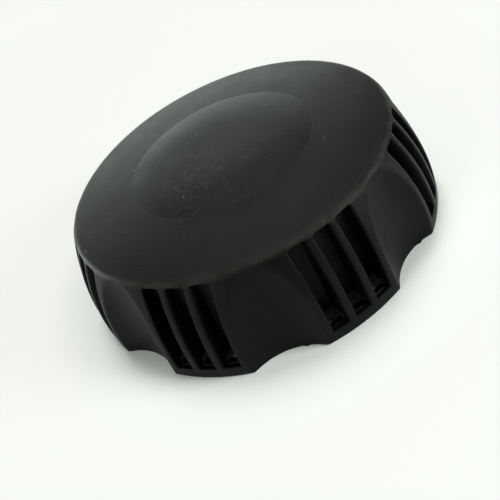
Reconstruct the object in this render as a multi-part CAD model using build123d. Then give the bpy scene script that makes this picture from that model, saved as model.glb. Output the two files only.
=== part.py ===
from build123d import *
import os
from math import atan2, cos, degrees, hypot, radians, sin, sqrt

os.makedirs("parts", exist_ok=True)

# Fuel filler cap, resting on the rim of its grip shell.
# Millimetres. +Z is up along the thread axis, z = 0 is the plane of the rim,
# and a grip lobe is centred on the +X axis. Radii are built outwards and inwards
# from the thread, and heights upwards from the closure's foot.

# ---- threaded closure ----
THREAD_ROOT_RADIUS = 30.2    # root of the thread for a 60 mm neck
CLOSURE_WALL = 2.2
CLOSURE_FOOT_Z = 1.2
THREAD_LENGTH = 8.4
THREAD_SHOULDER = 0.5        # step from the thread's root in to the gasket
PLATE_THICKNESS = 2.0
FLANGE_CLEARANCE = 0.4       # flange to the bore of the shell
KEYS = 4
KEY_WIDTH = 5.6
KEY_DEPTH = 2.8
KEY_ROOT = 1.0               # how far the keys reach into the plate
KEY_CLEARANCE = 0.2

# ---- neck gasket ----
GASKET_THICKNESS = 2.0
GASKET_WIDTH = 6.7
GASKET_FIT = 0.1             # radial gap to the closure

# ---- retaining ring and the bead that holds it ----
RING_WIDTH = 2.1
RING_HEIGHT = 2.3
RING_PLAY = 0.3              # axial play under the flange
RING_FIT = 0.1               # radial gap to the bore of the shell
RING_CLEARANCE = 0.4         # radial gap to the closure's wall
BEAD_HEIGHT = 0.8
BEAD_DEPTH = 0.5

# ---- grip shell ----
LOBES = 8
SKIRT_WALL = 2.4             # wall behind the pockets
GRIP_DEPTH = 5.6             # the lobes stand this far out from that wall at the rim
FLANK_ARC = 48.0             # the flank is an arc that leaves the rim upright
CROWN_HEADROOM = 1.3         # edge of the crown above the filter cover
CROWN_EDGE_ROUND = 2.2
CROWN_ARC = 300.0            # the crown's own curvature
CROWN_CLIMB = 1.65           # from the edge up to the raised centre
CROWN_WALL = 2.2
DOME_RADIUS = 21.4           # raised centre of the crown
DOME_RISE = 1.3
DOME_EDGE_SLOPE = 12.0       # degrees, where the raised centre starts

# ---- finger scallops between the lobes ----
SCALLOP_RADIUS = 14.0
SCALLOP_DEPTH = 2.9          # at the rim
SCALLOP_LEAN = 5.7           # degrees, towards the axis going up
SCALLOP_EDGE_ROUND = 1.2

# ---- pockets between the ribs of each lobe ----
POCKETS_PER_LOBE = 3
POCKET_WIDTH = 3.0
RIB_WIDTH = 2.3
RIB_EDGE_ROUND = 0.4
POCKET_DRAFT = 0.3           # the back wall stands this much further out at the rim
POCKET_FOOT_Z = 2.7
POCKET_HEAD = 1.6            # top of the pockets below the crown's edge
FOOT_LEDGE = 1.0             # pocket floor left standing in front of the back wall
FOOT_BAR = 2.0               # bar that closes the pocket at the rim

# ---- cored hollows behind the scallops, open at the rim ----
CORE_WALL = 1.8
CORE_DEPTH = 11.0

# ---- ratchet teeth inside the shell ----
TEETH = 48
TOOTH_DEPTH = 1.3
TOOTH_BACKING = 0.4          # from the roots of the teeth to the bore
TOOTH_STEEP_ANGLE = 0.8      # degrees taken by the steep side of a tooth
TEETH_CLEARANCE = 0.4        # above the closure's flange
TEETH_OVERHANG = 0.8         # above the pawls

# ---- torque ring ----
TORQUE_RING_HEIGHT = 2.2
TORQUE_RING_BAND = 4.5       # between the keys and the outside
TORQUE_RING_LAND = 1.8       # band that stands in between the keys
PAWLS = 4
PAWL_THICKNESS = 1.1
PAWL_GAP = 0.5               # slot between the band and a pawl's arm
PAWL_ARM_CLEARANCE = 0.4     # arm to the tips of the teeth
PAWL_SPAN = 36.0             # degrees, from tip to root
PAWL_ROOT_SPAN = 6.0         # degrees
PAWL_TIP_SPAN = 4.6          # degrees
PAWL_CLEARANCE = 0.3         # pawl tip to the tooth space

# ---- thrust washer and the ribs under the crown ----
THRUST_RIB_INSET = 1.3       # from the outside of the torque ring
THRUST_RIB_WIDTH = 2.0
WASHER_THICKNESS = 0.8
WASHER_OVERHANG = 0.8        # past each side of the thrust rib
WASHER_CLEARANCE = 0.3       # to the thrust rib
CROWN_RIBS = 8
CROWN_RIB_WIDTH = 1.4
CROWN_RIB_LIFT = 1.4         # foot of the ribs above the washer
CROWN_RIB_CLEARANCE = 1.5    # to the filter cover

# ---- valve housing ----
HOUSING_TO_KEYS = 1.5
FLANGE_OVERHANG = 3.9        # housing flange past its barrel
FLANGE_HEIGHT = 1.6
HOUSING_WALL = 2.6
HOUSING_FIT = 0.2            # barrel to its hole in the closure
HOUSING_RECESS = 0.2         # foot of the housing above the gasket's face
RECESS_WIDENING = 0.8        # counterbores for the inserted discs
SEAT_GAP = 0.4               # between the flame screen and the seat
SEAT_WIDTH = 5.5
SEAT_FLOOR = 1.2
SEAT_LIP_WIDTH = 0.8
SEAT_LIP_HEIGHT = 0.6

# ---- square ring seal under the housing flange ----
SEAL_INSET = 1.2             # from the housing's barrel
SEAL_WIDTH = 1.3
SEAL_GROOVE_WIDTH = 1.6
SEAL_GROOVE_DEPTH = 1.1

# ---- splash guard and flame screen ----
INSERT_FIT = 0.1             # radial gap round an inserted disc
GUARD_THICKNESS = 0.8
GUARD_HOLES = 6
GUARD_HOLE_RADIUS = 2.2
GUARD_HOLE_CIRCLE = 10.5
SCREEN_THICKNESS = 0.4

# ---- vacuum valve ----
PORT_RADIUS = 4.6
PORT_SPOKES = 3
PORT_SPOKE_WIDTH = 1.2
PORT_HUB_RADIUS = 2.5
STEM_RADIUS = 1.2
STEM_CLEARANCE = 0.08
STEM_RECESS = 1.5            # stem below the top of the spring retainer
VACUUM_SEAL_STEP = 0.3       # from the port to the seal
VACUUM_SEAL_WIDTH = 1.3
VACUUM_SEAL_THICKNESS = 0.6
VACUUM_DISC_THICKNESS = 0.8
VACUUM_WIRE = 0.3
VACUUM_TURNS = 2.0
CLIP_RADIUS = 2.8
CLIP_THICKNESS = 0.4
CLIP_GROOVE_DEPTH = 0.3
CLIP_FIT = 0.05
STEM_END = 0.5               # stem past the clip

# ---- pressure valve ----
PRESSURE_SEAL_OVERLAP = 2.2  # past the seat's lip
PRESSURE_SEAL_STEP = 0.4     # from the vacuum valve's disc
PRESSURE_SEAL_THICKNESS = 0.8
PLATE_MARGIN = 1.5           # valve plate to the bore of the housing
VALVE_PLATE_THICKNESS = 1.0
PLATE_RIM_WIDTH = 1.0
PLATE_RIM_HEIGHT = 0.6
GUIDE_LUGS = 4
GUIDE_LUG_WIDTH = 2.0
GUIDE_CLEARANCE = 0.3        # lug to the bore of the housing
PRESSURE_SPRING_INSET = 0.5  # foot of the spring from the plate's rim
PRESSURE_WIRE = 0.8
PRESSURE_TURNS = 2.0
SPRING_ROOM = 3.0            # between the valve plate and the retainer
SPRING_SLACK = 0.03          # left at each end of a spring

# ---- spring retainer ----
RETAINER_THICKNESS = 1.0
RETAINER_EYE_RADIUS = 4.2
RETAINER_HOLES = 4
RETAINER_HOLE_RADIUS = 1.5
RETAINER_RING_GAP = 0.3      # to the spring
RETAINER_RING_WIDTH = 1.0
RETAINER_RING_HEIGHT = 0.6

# ---- vent filter and its cover ----
FILTER_THICKNESS = 1.4
FILTER_FIT = 0.2
COVER_THICKNESS = 0.8
COVER_WALL = 1.0
COVER_FIT = 0.1              # skirt to the housing's barrel
COVER_SEAT_GAP = 0.2         # barrel's top to the cover
PRESS_RING_WALL = 1.9
COVER_HOLES = 6
COVER_HOLE_RADIUS = 1.5
COVER_HOLE_CIRCLE = 9.0

# ---- radii that follow ----
SHOULDER_RADIUS = THREAD_ROOT_RADIUS - THREAD_SHOULDER
CLOSURE_RADIUS = THREAD_ROOT_RADIUS + CLOSURE_WALL
RING_INNER = CLOSURE_RADIUS + RING_CLEARANCE
BORE_RADIUS = RING_INNER + RING_WIDTH + RING_FIT
POCKET_BACK_RADIUS = BORE_RADIUS + SKIRT_WALL
RIM_RADIUS = POCKET_BACK_RADIUS + GRIP_DEPTH
SCALLOP_CENTRE = RIM_RADIUS + SCALLOP_RADIUS - SCALLOP_DEPTH
TOOTH_ROOT_RADIUS = BORE_RADIUS - TOOTH_BACKING
TOOTH_TIP_RADIUS = TOOTH_ROOT_RADIUS - TOOTH_DEPTH
PAWL_OUTER = TOOTH_TIP_RADIUS - PAWL_ARM_CLEARANCE
PAWL_INNER = PAWL_OUTER - PAWL_THICKNESS
TORQUE_RING_OUTER = PAWL_INNER - PAWL_GAP
THRUST_RIB_OUTER = TORQUE_RING_OUTER - THRUST_RIB_INSET
THRUST_RIB_INNER = THRUST_RIB_OUTER - THRUST_RIB_WIDTH
KEY_OUTER = TORQUE_RING_OUTER - TORQUE_RING_BAND
KEY_INNER = KEY_OUTER - KEY_DEPTH
HOUSING_FLANGE_RADIUS = KEY_INNER - HOUSING_TO_KEYS
HOUSING_RADIUS = HOUSING_FLANGE_RADIUS - FLANGE_OVERHANG
HOUSING_BORE = HOUSING_RADIUS - HOUSING_WALL
RECESS_RADIUS = HOUSING_BORE + RECESS_WIDENING
INSERT_RADIUS = RECESS_RADIUS - INSERT_FIT
SEAT_HOLE_RADIUS = HOUSING_BORE - SEAT_WIDTH
SEAT_LIP_RADIUS = SEAT_HOLE_RADIUS + SEAT_LIP_WIDTH
SEAL_INNER = HOUSING_RADIUS + SEAL_INSET
VACUUM_SEAL_INNER = PORT_RADIUS + VACUUM_SEAL_STEP
VACUUM_DISC_RADIUS = VACUUM_SEAL_INNER + VACUUM_SEAL_WIDTH
VALVE_PLATE_RADIUS = HOUSING_BORE - PLATE_MARGIN
PLATE_RIM_INNER = VALVE_PLATE_RADIUS - PLATE_RIM_WIDTH
PRESSURE_SPRING_FOOT = PLATE_RIM_INNER - PRESSURE_SPRING_INSET - PRESSURE_WIRE / 2
PRESSURE_SPRING_HEAD = PRESSURE_SPRING_FOOT - PRESSURE_WIRE * PRESSURE_TURNS
VACUUM_SPRING_FOOT = PORT_HUB_RADIUS - VACUUM_WIRE
VACUUM_SPRING_HEAD = VACUUM_SPRING_FOOT - VACUUM_WIRE * VACUUM_TURNS
COVER_RADIUS = HOUSING_RADIUS + COVER_FIT + COVER_WALL

# ---- heights that follow ----
THREAD_TOP_Z = CLOSURE_FOOT_Z + THREAD_LENGTH
PLATE_FOOT_Z = THREAD_TOP_Z + GASKET_THICKNESS
PLATE_TOP_Z = PLATE_FOOT_Z + PLATE_THICKNESS
RING_TOP_Z = PLATE_FOOT_Z - RING_PLAY
RING_FOOT_Z = RING_TOP_Z - RING_HEIGHT
TORQUE_TOP_Z = PLATE_TOP_Z + TORQUE_RING_HEIGHT
WASHER_TOP_Z = TORQUE_TOP_Z + WASHER_THICKNESS
HOUSING_FOOT_Z = THREAD_TOP_Z + HOUSING_RECESS
FLANGE_TOP_Z = PLATE_TOP_Z + FLANGE_HEIGHT
GUARD_TOP_Z = HOUSING_FOOT_Z + GUARD_THICKNESS
SCREEN_TOP_Z = GUARD_TOP_Z + SCREEN_THICKNESS
SEAT_FOOT_Z = SCREEN_TOP_Z + SEAT_GAP
SEAT_FLOOR_Z = SEAT_FOOT_Z + SEAT_FLOOR
SEAT_LIP_Z = SEAT_FLOOR_Z + SEAT_LIP_HEIGHT
VALVE_FOOT_Z = SEAT_LIP_Z + PRESSURE_SEAL_THICKNESS
VALVE_TOP_Z = VALVE_FOOT_Z + VALVE_PLATE_THICKNESS
RETAINER_FOOT_Z = VALVE_TOP_Z + SPRING_ROOM
RETAINER_TOP_Z = RETAINER_FOOT_Z + RETAINER_THICKNESS
FILTER_TOP_Z = RETAINER_TOP_Z + FILTER_THICKNESS
HOUSING_TOP_Z = FILTER_TOP_Z - COVER_SEAT_GAP
COVER_TOP_Z = FILTER_TOP_Z + COVER_THICKNESS
STEM_TOP_Z = RETAINER_TOP_Z - STEM_RECESS
CLIP_TOP_Z = STEM_TOP_Z - STEM_END
CLIP_FOOT_Z = CLIP_TOP_Z - CLIP_THICKNESS
CROWN_EDGE_Z = COVER_TOP_Z + CROWN_HEADROOM     # flank and crown meet here, but for the round
DOME_BASE_Z = CROWN_EDGE_Z + CROWN_CLIMB
POCKET_TOP_Z = CROWN_EDGE_Z - POCKET_HEAD

# ---- cutters ----
TALL = 120.0                 # longer than any piece, for cutting right through
OVERCUT = 1.0                # how far a cutter reaches past the face that it opens


# ---- shapes used by several pieces ----

def turned(*outline):
    """Body of revolution about Z from an outline of (radius, height) points."""
    return revolve(make_face(Plane.XZ * Polyline(*outline, close=True)), Axis.Z)


def tube(inner, outer, foot, top):
    """Ring with a rectangular section."""
    return turned((inner, foot), (outer, foot), (outer, top), (inner, top))


def disc(radius, foot, top):
    """Flat round disc on the axis."""
    return turned((0, foot), (radius, foot), (radius, top), (0, top))


def block(near, far, width, foot, top):
    """Box along +X from near to far, centred on the X axis."""
    body = Box(far - near, width, top - foot)
    return Pos((near + far) / 2, 0, (foot + top) / 2) * body


def around(part, count, start=0.0):
    """Copies of a part, evenly spaced about Z."""
    return [Rot(0, 0, start + 360 * turn / count) * part for turn in range(count)]


def polar(radius, angle):
    """Point at a radius and an angle in degrees."""
    return (radius * cos(radians(angle)), radius * sin(radians(angle)))


def prism(points, foot, top):
    """Upright prism over a closed outline of plane points."""
    outline = make_face(Polyline(*points, close=True))
    return Pos(0, 0, foot) * extrude(outline, top - foot)


def arc_bar(inner, outer, foot, top, start, span):
    """Part of a ring, from a start angle over a span in degrees."""
    section = Plane.XZ * Polyline(
        (inner, foot), (outer, foot), (outer, top), (inner, top), close=True
    )
    bar = revolve(make_face(section), Axis.Z, revolution_arc=span)
    return Rot(0, 0, start) * bar


def holes(count, circle, radius, foot, top):
    """Cutters for a ring of round holes."""
    return around(Pos(circle, 0, 0) * disc(radius, foot, top), count)


def spring(foot_radius, head_radius, wire, turns, foot, top):
    """Conical coil of square wire that fills the room between two heights."""
    rise = top - foot - wire
    cone = atan2(head_radius - foot_radius, rise)
    pitch = rise / turns / cos(cone)    # along the side of the cone
    coil = Helix(pitch, rise, foot_radius, cone_angle=degrees(cone))
    path = Pos(0, 0, foot + wire / 2) * coil
    section = Plane(path @ 0, z_dir=path % 0) * Rectangle(wire, wire)
    return sweep(section, path, is_frenet=True)


# ---- grip shell ----

def flank_radius(height):
    """Radius of the flank at a height."""
    return RIM_RADIUS - FLANK_ARC + sqrt(FLANK_ARC**2 - height**2)


def shell_envelope():
    """Solid under the flank, the rounded edge, the crown and its raised centre."""
    rim = (RIM_RADIUS, 0)
    edge = (flank_radius(CROWN_EDGE_Z), CROWN_EDGE_Z)
    ring = (DOME_RADIUS, DOME_BASE_Z)
    top = (0, DOME_BASE_Z + DOME_RISE)
    climb = (-cos(radians(DOME_EDGE_SLOPE)), sin(radians(DOME_EDGE_SLOPE)))
    outline = [
        Line((0, 0), rim),
        RadiusArc(rim, edge, -FLANK_ARC),
        RadiusArc(edge, ring, -CROWN_ARC),
        Spline(ring, top, tangents=[climb, (-1, 0)]),
        Line(top, (0, 0)),
    ]
    section = make_face(Curve(children=outline))
    corner = section.vertices().sort_by_distance(edge)[0]
    return revolve(Plane.XZ * fillet(corner, CROWN_EDGE_ROUND), Axis.Z)


def shell_cavity(envelope):
    """Inside of the shell: the envelope lowered by the crown's wall, within the bore."""
    ceiling = Pos(0, 0, -CROWN_WALL) * envelope & disc(BORE_RADIUS, 0, TALL)
    return ceiling + disc(BORE_RADIUS, -TALL, CROWN_WALL)


def scallop(radius):
    """Leaning cylinder of a finger scallop, out along the +X axis."""
    axis = Pos(SCALLOP_CENTRE, 0, 0) * Rot(0, -SCALLOP_LEAN, 0)
    return axis * Cylinder(radius, TALL)


def beside_lobe(radius):
    """The scallop cylinders, one between each two lobes."""
    return around(scallop(radius), LOBES, start=180 / LOBES)


def pocket_offsets():
    """Sideways places of the pockets across a lobe."""
    middle = (POCKETS_PER_LOBE - 1) / 2
    pitch = POCKET_WIDTH + RIB_WIDTH
    return [(slot - middle) * pitch for slot in range(POCKETS_PER_LOBE)]


def across_lobes(part):
    """A part repeated at every pocket of every lobe."""
    row = [Pos(0, offset, 0) * part for offset in pocket_offsets()]
    return [copy for part in row for copy in around(part, LOBES)]


def pocket_cutters():
    """Parallel slots between the ribs, as deep as the drafted back wall."""
    back_wall = turned(
        (0, 0),
        (POCKET_BACK_RADIUS + POCKET_DRAFT, 0),
        (POCKET_BACK_RADIUS, POCKET_TOP_Z),
        (0, POCKET_TOP_Z),
    )
    slot_end = RIM_RADIUS + OVERCUT
    slot = block(BORE_RADIUS, slot_end, POCKET_WIDTH, POCKET_FOOT_Z, POCKET_TOP_Z)
    row = [Pos(0, offset, 0) * slot - back_wall for offset in pocket_offsets()]
    return [copy for part in row for copy in around(part, LOBES)]


def window_cutters():
    """Drain windows through the floors of the pockets."""
    near = POCKET_BACK_RADIUS + POCKET_DRAFT + FOOT_LEDGE
    far = RIM_RADIUS - FOOT_BAR
    top = POCKET_FOOT_Z + OVERCUT
    return across_lobes(block(near, far, POCKET_WIDTH, -OVERCUT, top))


def core_cutters():
    """Crescent hollows that keep the walls even behind the scallops."""
    near = POCKET_BACK_RADIUS + POCKET_DRAFT
    crescents = tube(near, RIM_RADIUS - CORE_WALL, -OVERCUT, CORE_DEPTH)
    lobe_half = pocket_offsets()[-1] + POCKET_WIDTH / 2 + CORE_WALL
    lobe_blocks = around(block(0, TALL, 2 * lobe_half, -TALL, TALL), LOBES)
    return crescents - beside_lobe(SCALLOP_RADIUS + CORE_WALL) - lobe_blocks


def off_lobe_middle(edge):
    """How far an edge lies to the side of the middle of its lobe."""
    place = edge.center()
    lobe_angle = 360 / LOBES
    angle = (degrees(atan2(place.Y, place.X)) + lobe_angle / 2) % lobe_angle
    return abs(hypot(place.X, place.Y) * sin(radians(angle - lobe_angle / 2)))


def tall_edges(body, least_height, nearest, furthest):
    """Edges taller than a height that lie so far to the side of a lobe's middle."""
    return [
        edge
        for edge in body.edges()
        if edge.bounding_box().size.Z > least_height
        and nearest < off_lobe_middle(edge) < furthest
    ]


def rib_edges(body):
    """Outer edges of the pockets, where rib and flank meet."""
    tall = (POCKET_TOP_Z - POCKET_FOOT_Z) / 2
    half_lobe = pocket_offsets()[-1] + POCKET_WIDTH
    back = POCKET_BACK_RADIUS + POCKET_DRAFT + FOOT_LEDGE
    upright = tall_edges(body, tall, POCKET_WIDTH / 4, half_lobe)
    return [edge for edge in upright if hypot(edge.center().X, edge.center().Y) > back]


def ratchet_teeth():
    """Ring of saw teeth that points inwards, steep on one side."""
    pitch = 360 / TEETH
    outline = []
    for tooth in range(TEETH):
        outline.append(polar(TOOTH_TIP_RADIUS, tooth * pitch))
        outline.append(polar(TOOTH_ROOT_RADIUS, tooth * pitch + TOOTH_STEEP_ANGLE))
    foot = PLATE_TOP_Z + TEETH_CLEARANCE
    top = TORQUE_TOP_Z + TEETH_OVERHANG
    toothed = prism(outline, foot - OVERCUT, top + OVERCUT)
    return disc(BORE_RADIUS + BEAD_DEPTH, foot, top) - toothed


def crown_ribs(envelope):
    """Thrust rib that hangs from the crown, and the short ribs that brace it."""
    thrust = tube(
        THRUST_RIB_INNER, THRUST_RIB_OUTER, WASHER_TOP_Z + WASHER_CLEARANCE, TALL
    )
    brace = block(
        COVER_RADIUS + CROWN_RIB_CLEARANCE,
        (THRUST_RIB_INNER + THRUST_RIB_OUTER) / 2,
        CROWN_RIB_WIDTH,
        WASHER_TOP_Z + CROWN_RIB_LIFT,
        TALL,
    )
    ribs = thrust + around(brace, CROWN_RIBS)
    return ribs & Pos(0, 0, -CROWN_WALL / 2) * envelope


def retaining_bead():
    """Bead in the bore that the retaining ring snaps over."""
    return tube(
        BORE_RADIUS - BEAD_DEPTH,
        BORE_RADIUS + BEAD_DEPTH,
        RING_FOOT_Z - BEAD_HEIGHT,
        RING_FOOT_Z,
    )


def grip_shell():
    """Grip shell with its lobes, scallops, ribs and pockets, and what is inside it."""
    envelope = shell_envelope()
    body = envelope - beside_lobe(SCALLOP_RADIUS)
    lobe_corners = tall_edges(body, CROWN_EDGE_Z / 2, 2 * POCKET_WIDTH, RIM_RADIUS)
    body = fillet(lobe_corners, SCALLOP_EDGE_ROUND)
    body = body - shell_cavity(envelope) - pocket_cutters()
    body = fillet(rib_edges(body), RIB_EDGE_ROUND)
    body = body - window_cutters() - core_cutters()
    return body + ratchet_teeth() + crown_ribs(envelope) + retaining_bead()


def retaining_ring():
    """Ring snapped into the shell, under the closure's flange."""
    return tube(RING_INNER, BORE_RADIUS - RING_FIT, RING_FOOT_Z, RING_TOP_Z)


# ---- closure and ratchet ----

def keys():
    """Blocks on the closure that turn the torque ring."""
    return around(
        block(KEY_INNER, KEY_OUTER, KEY_WIDTH, PLATE_TOP_Z - KEY_ROOT, TORQUE_TOP_Z),
        KEYS,
        start=180 / KEYS,
    )


def inner_closure():
    """Threaded cup that screws onto the filler neck, with its flange and keys."""
    hole = HOUSING_RADIUS + HOUSING_FIT
    cup = turned(
        (THREAD_ROOT_RADIUS, CLOSURE_FOOT_Z),
        (CLOSURE_RADIUS, CLOSURE_FOOT_Z),
        (CLOSURE_RADIUS, PLATE_FOOT_Z),
        (BORE_RADIUS - FLANGE_CLEARANCE, PLATE_FOOT_Z),
        (BORE_RADIUS - FLANGE_CLEARANCE, PLATE_TOP_Z),
        (hole, PLATE_TOP_Z),
        (hole, PLATE_FOOT_Z),
        (SHOULDER_RADIUS, PLATE_FOOT_Z),
        (SHOULDER_RADIUS, THREAD_TOP_Z),
        (THREAD_ROOT_RADIUS, THREAD_TOP_Z),
    )
    groove = tube(
        SEAL_INNER, SEAL_INNER + SEAL_GROOVE_WIDTH, PLATE_TOP_Z - SEAL_GROOVE_DEPTH, TALL
    )
    return cup - groove + keys()


def pawl():
    """Spring arm whose tip stands in a tooth space of the shell."""
    tip_radius = TOOTH_ROOT_RADIUS - PAWL_CLEARANCE
    start = TOOTH_STEEP_ANGLE + degrees(PAWL_CLEARANCE / TOOTH_ROOT_RADIUS)
    arm = arc_bar(PAWL_INNER, PAWL_OUTER, PLATE_TOP_Z, TORQUE_TOP_Z, start, PAWL_SPAN)
    root_start = start + PAWL_SPAN - PAWL_ROOT_SPAN
    root_inner = TORQUE_RING_OUTER - PAWL_GAP
    root = arc_bar(
        root_inner, PAWL_OUTER, PLATE_TOP_Z, TORQUE_TOP_Z, root_start, PAWL_ROOT_SPAN
    )
    mid_arm = (PAWL_INNER + PAWL_OUTER) / 2
    tip = prism(
        [
            polar(mid_arm, start),
            polar(tip_radius, start),
            polar(PAWL_OUTER, start + PAWL_TIP_SPAN),
            polar(mid_arm, start + PAWL_TIP_SPAN),
        ],
        PLATE_TOP_Z,
        TORQUE_TOP_Z,
    )
    return arm + root + tip


def torque_ring():
    """Ring keyed to the closure, with the pawls of the ratchet."""
    notch_radius = KEY_OUTER + KEY_CLEARANCE
    inner = notch_radius - TORQUE_RING_LAND
    band = tube(inner, TORQUE_RING_OUTER, PLATE_TOP_Z, TORQUE_TOP_Z)
    notch_width = KEY_WIDTH + 2 * KEY_CLEARANCE
    notch = block(0, notch_radius, notch_width, PLATE_FOOT_Z, TALL)
    band = band - around(notch, KEYS, start=180 / KEYS)
    return band + around(pawl(), PAWLS)


def thrust_washer():
    """Washer between the torque ring and the thrust rib of the shell."""
    inner = THRUST_RIB_INNER - WASHER_OVERHANG
    outer = THRUST_RIB_OUTER + WASHER_OVERHANG
    return tube(inner, outer, TORQUE_TOP_Z, WASHER_TOP_Z)


def neck_gasket():
    """Flat gasket that the rim of the filler neck seals on."""
    outer = SHOULDER_RADIUS - GASKET_FIT
    return tube(outer - GASKET_WIDTH, outer, THREAD_TOP_Z, PLATE_FOOT_Z)


# ---- valve housing and what closes it ----

def valve_housing():
    """Barrel with a flange round it, counterbores at both ends and a lipped seat."""
    return turned(
        (RECESS_RADIUS, HOUSING_FOOT_Z),
        (HOUSING_RADIUS, HOUSING_FOOT_Z),
        (HOUSING_RADIUS, PLATE_TOP_Z),
        (HOUSING_FLANGE_RADIUS, PLATE_TOP_Z),
        (HOUSING_FLANGE_RADIUS, FLANGE_TOP_Z),
        (HOUSING_RADIUS, FLANGE_TOP_Z),
        (HOUSING_RADIUS, HOUSING_TOP_Z),
        (RECESS_RADIUS, HOUSING_TOP_Z),
        (RECESS_RADIUS, RETAINER_FOOT_Z),
        (HOUSING_BORE, RETAINER_FOOT_Z),
        (HOUSING_BORE, SEAT_FLOOR_Z),
        (SEAT_LIP_RADIUS, SEAT_FLOOR_Z),
        (SEAT_LIP_RADIUS, SEAT_LIP_Z),
        (SEAT_HOLE_RADIUS, SEAT_LIP_Z),
        (SEAT_HOLE_RADIUS, SEAT_FOOT_Z),
        (HOUSING_BORE, SEAT_FOOT_Z),
        (HOUSING_BORE, SCREEN_TOP_Z),
        (RECESS_RADIUS, SCREEN_TOP_Z),
    )


def housing_seal():
    """Square ring seal in the closure's groove, under the housing flange."""
    inner = SEAL_INNER + (SEAL_GROOVE_WIDTH - SEAL_WIDTH) / 2
    foot = PLATE_TOP_Z - SEAL_GROOVE_DEPTH
    return tube(inner, inner + SEAL_WIDTH, foot, PLATE_TOP_Z)


def splash_guard():
    """Perforated disc snapped into the foot of the housing."""
    plate = disc(INSERT_RADIUS, HOUSING_FOOT_Z, GUARD_TOP_Z)
    return plate - holes(GUARD_HOLES, GUARD_HOLE_CIRCLE, GUARD_HOLE_RADIUS, 0, TALL)


def flame_screen():
    """Gauze disc held between the splash guard and its counterbore."""
    return disc(INSERT_RADIUS, GUARD_TOP_Z, SCREEN_TOP_Z)


def spring_retainer():
    """Vented disc that the pressure spring pushes on, with a ring that centres it."""
    plate = disc(INSERT_RADIUS, RETAINER_FOOT_Z, RETAINER_TOP_Z)
    ring_outer = PRESSURE_SPRING_HEAD - PRESSURE_WIRE / 2 - RETAINER_RING_GAP
    ring_inner = ring_outer - RETAINER_RING_WIDTH
    ring_foot = RETAINER_FOOT_Z - RETAINER_RING_HEIGHT
    ring = tube(ring_inner, ring_outer, ring_foot, RETAINER_TOP_Z)
    circle = (RETAINER_EYE_RADIUS + ring_inner) / 2
    vents = holes(RETAINER_HOLES, circle, RETAINER_HOLE_RADIUS, 0, TALL)
    return plate + ring - vents - disc(RETAINER_EYE_RADIUS, 0, TALL)


def vent_filter():
    """Foam disc over the spring retainer."""
    radius = INSERT_RADIUS - PRESS_RING_WALL - FILTER_FIT
    return disc(radius, RETAINER_TOP_Z, FILTER_TOP_Z)


def filter_cover():
    """Perforated cap over the housing's barrel, which also holds the retainer down."""
    cap = turned(
        (0, FILTER_TOP_Z),
        (INSERT_RADIUS - PRESS_RING_WALL, FILTER_TOP_Z),
        (INSERT_RADIUS - PRESS_RING_WALL, RETAINER_TOP_Z),
        (INSERT_RADIUS, RETAINER_TOP_Z),
        (INSERT_RADIUS, FILTER_TOP_Z),
        (COVER_RADIUS - COVER_WALL, FILTER_TOP_Z),
        (COVER_RADIUS - COVER_WALL, FLANGE_TOP_Z),
        (COVER_RADIUS, FLANGE_TOP_Z),
        (COVER_RADIUS, COVER_TOP_Z),
        (0, COVER_TOP_Z),
    )
    return cap - holes(COVER_HOLES, COVER_HOLE_CIRCLE, COVER_HOLE_RADIUS, 0, TALL)


# ---- pressure valve ----

def pressure_seal():
    """Flat rubber ring that closes on the lip of the seat."""
    inner = VACUUM_DISC_RADIUS + PRESSURE_SEAL_STEP
    outer = SEAT_LIP_RADIUS + PRESSURE_SEAL_OVERLAP
    return tube(inner, outer, SEAT_LIP_Z, VALVE_FOOT_Z)


def pressure_plate():
    """Valve plate with guide lugs, and a spoked port for the vacuum valve."""
    plate = disc(VALVE_PLATE_RADIUS, VALVE_FOOT_Z, VALVE_TOP_Z)
    rim_top = VALVE_TOP_Z + PLATE_RIM_HEIGHT
    rim = tube(PLATE_RIM_INNER, VALVE_PLATE_RADIUS, VALVE_FOOT_Z, rim_top)
    lug_end = HOUSING_BORE - GUIDE_CLEARANCE
    lug = block(PLATE_RIM_INNER, lug_end, GUIDE_LUG_WIDTH, VALVE_FOOT_Z, rim_top)
    port = disc(PORT_RADIUS, 0, TALL)
    hub = disc(PORT_HUB_RADIUS, VALVE_FOOT_Z, VALVE_TOP_Z)
    spoke_end = PORT_RADIUS + PORT_SPOKE_WIDTH
    spoke = block(0, spoke_end, PORT_SPOKE_WIDTH, VALVE_FOOT_Z, VALVE_TOP_Z)
    body = plate + rim + around(lug, GUIDE_LUGS) - port
    body = body + hub + around(spoke, PORT_SPOKES)
    return body - disc(STEM_RADIUS + STEM_CLEARANCE, 0, TALL)


def pressure_spring():
    """Spring that holds the pressure valve shut."""
    return spring(
        PRESSURE_SPRING_FOOT,
        PRESSURE_SPRING_HEAD,
        PRESSURE_WIRE,
        PRESSURE_TURNS,
        VALVE_TOP_Z + SPRING_SLACK,
        RETAINER_FOOT_Z - SPRING_SLACK,
    )


# ---- vacuum valve ----

def vacuum_seal():
    """Flat rubber ring on the vacuum valve's disc."""
    foot = VALVE_FOOT_Z - VACUUM_SEAL_THICKNESS
    return tube(VACUUM_SEAL_INNER, VACUUM_DISC_RADIUS, foot, VALVE_FOOT_Z)


def vacuum_poppet():
    """Valve disc with a stem that ends in a groove for its clip."""
    disc_top = VALVE_FOOT_Z - VACUUM_SEAL_THICKNESS
    disc_foot = disc_top - VACUUM_DISC_THICKNESS
    groove_radius = STEM_RADIUS - CLIP_GROOVE_DEPTH
    return turned(
        (0, disc_foot),
        (VACUUM_DISC_RADIUS, disc_foot),
        (VACUUM_DISC_RADIUS, disc_top),
        (STEM_RADIUS, disc_top),
        (STEM_RADIUS, CLIP_FOOT_Z),
        (groove_radius, CLIP_FOOT_Z),
        (groove_radius, CLIP_TOP_Z),
        (STEM_RADIUS, CLIP_TOP_Z),
        (STEM_RADIUS, STEM_TOP_Z),
        (0, STEM_TOP_Z),
    )


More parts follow.
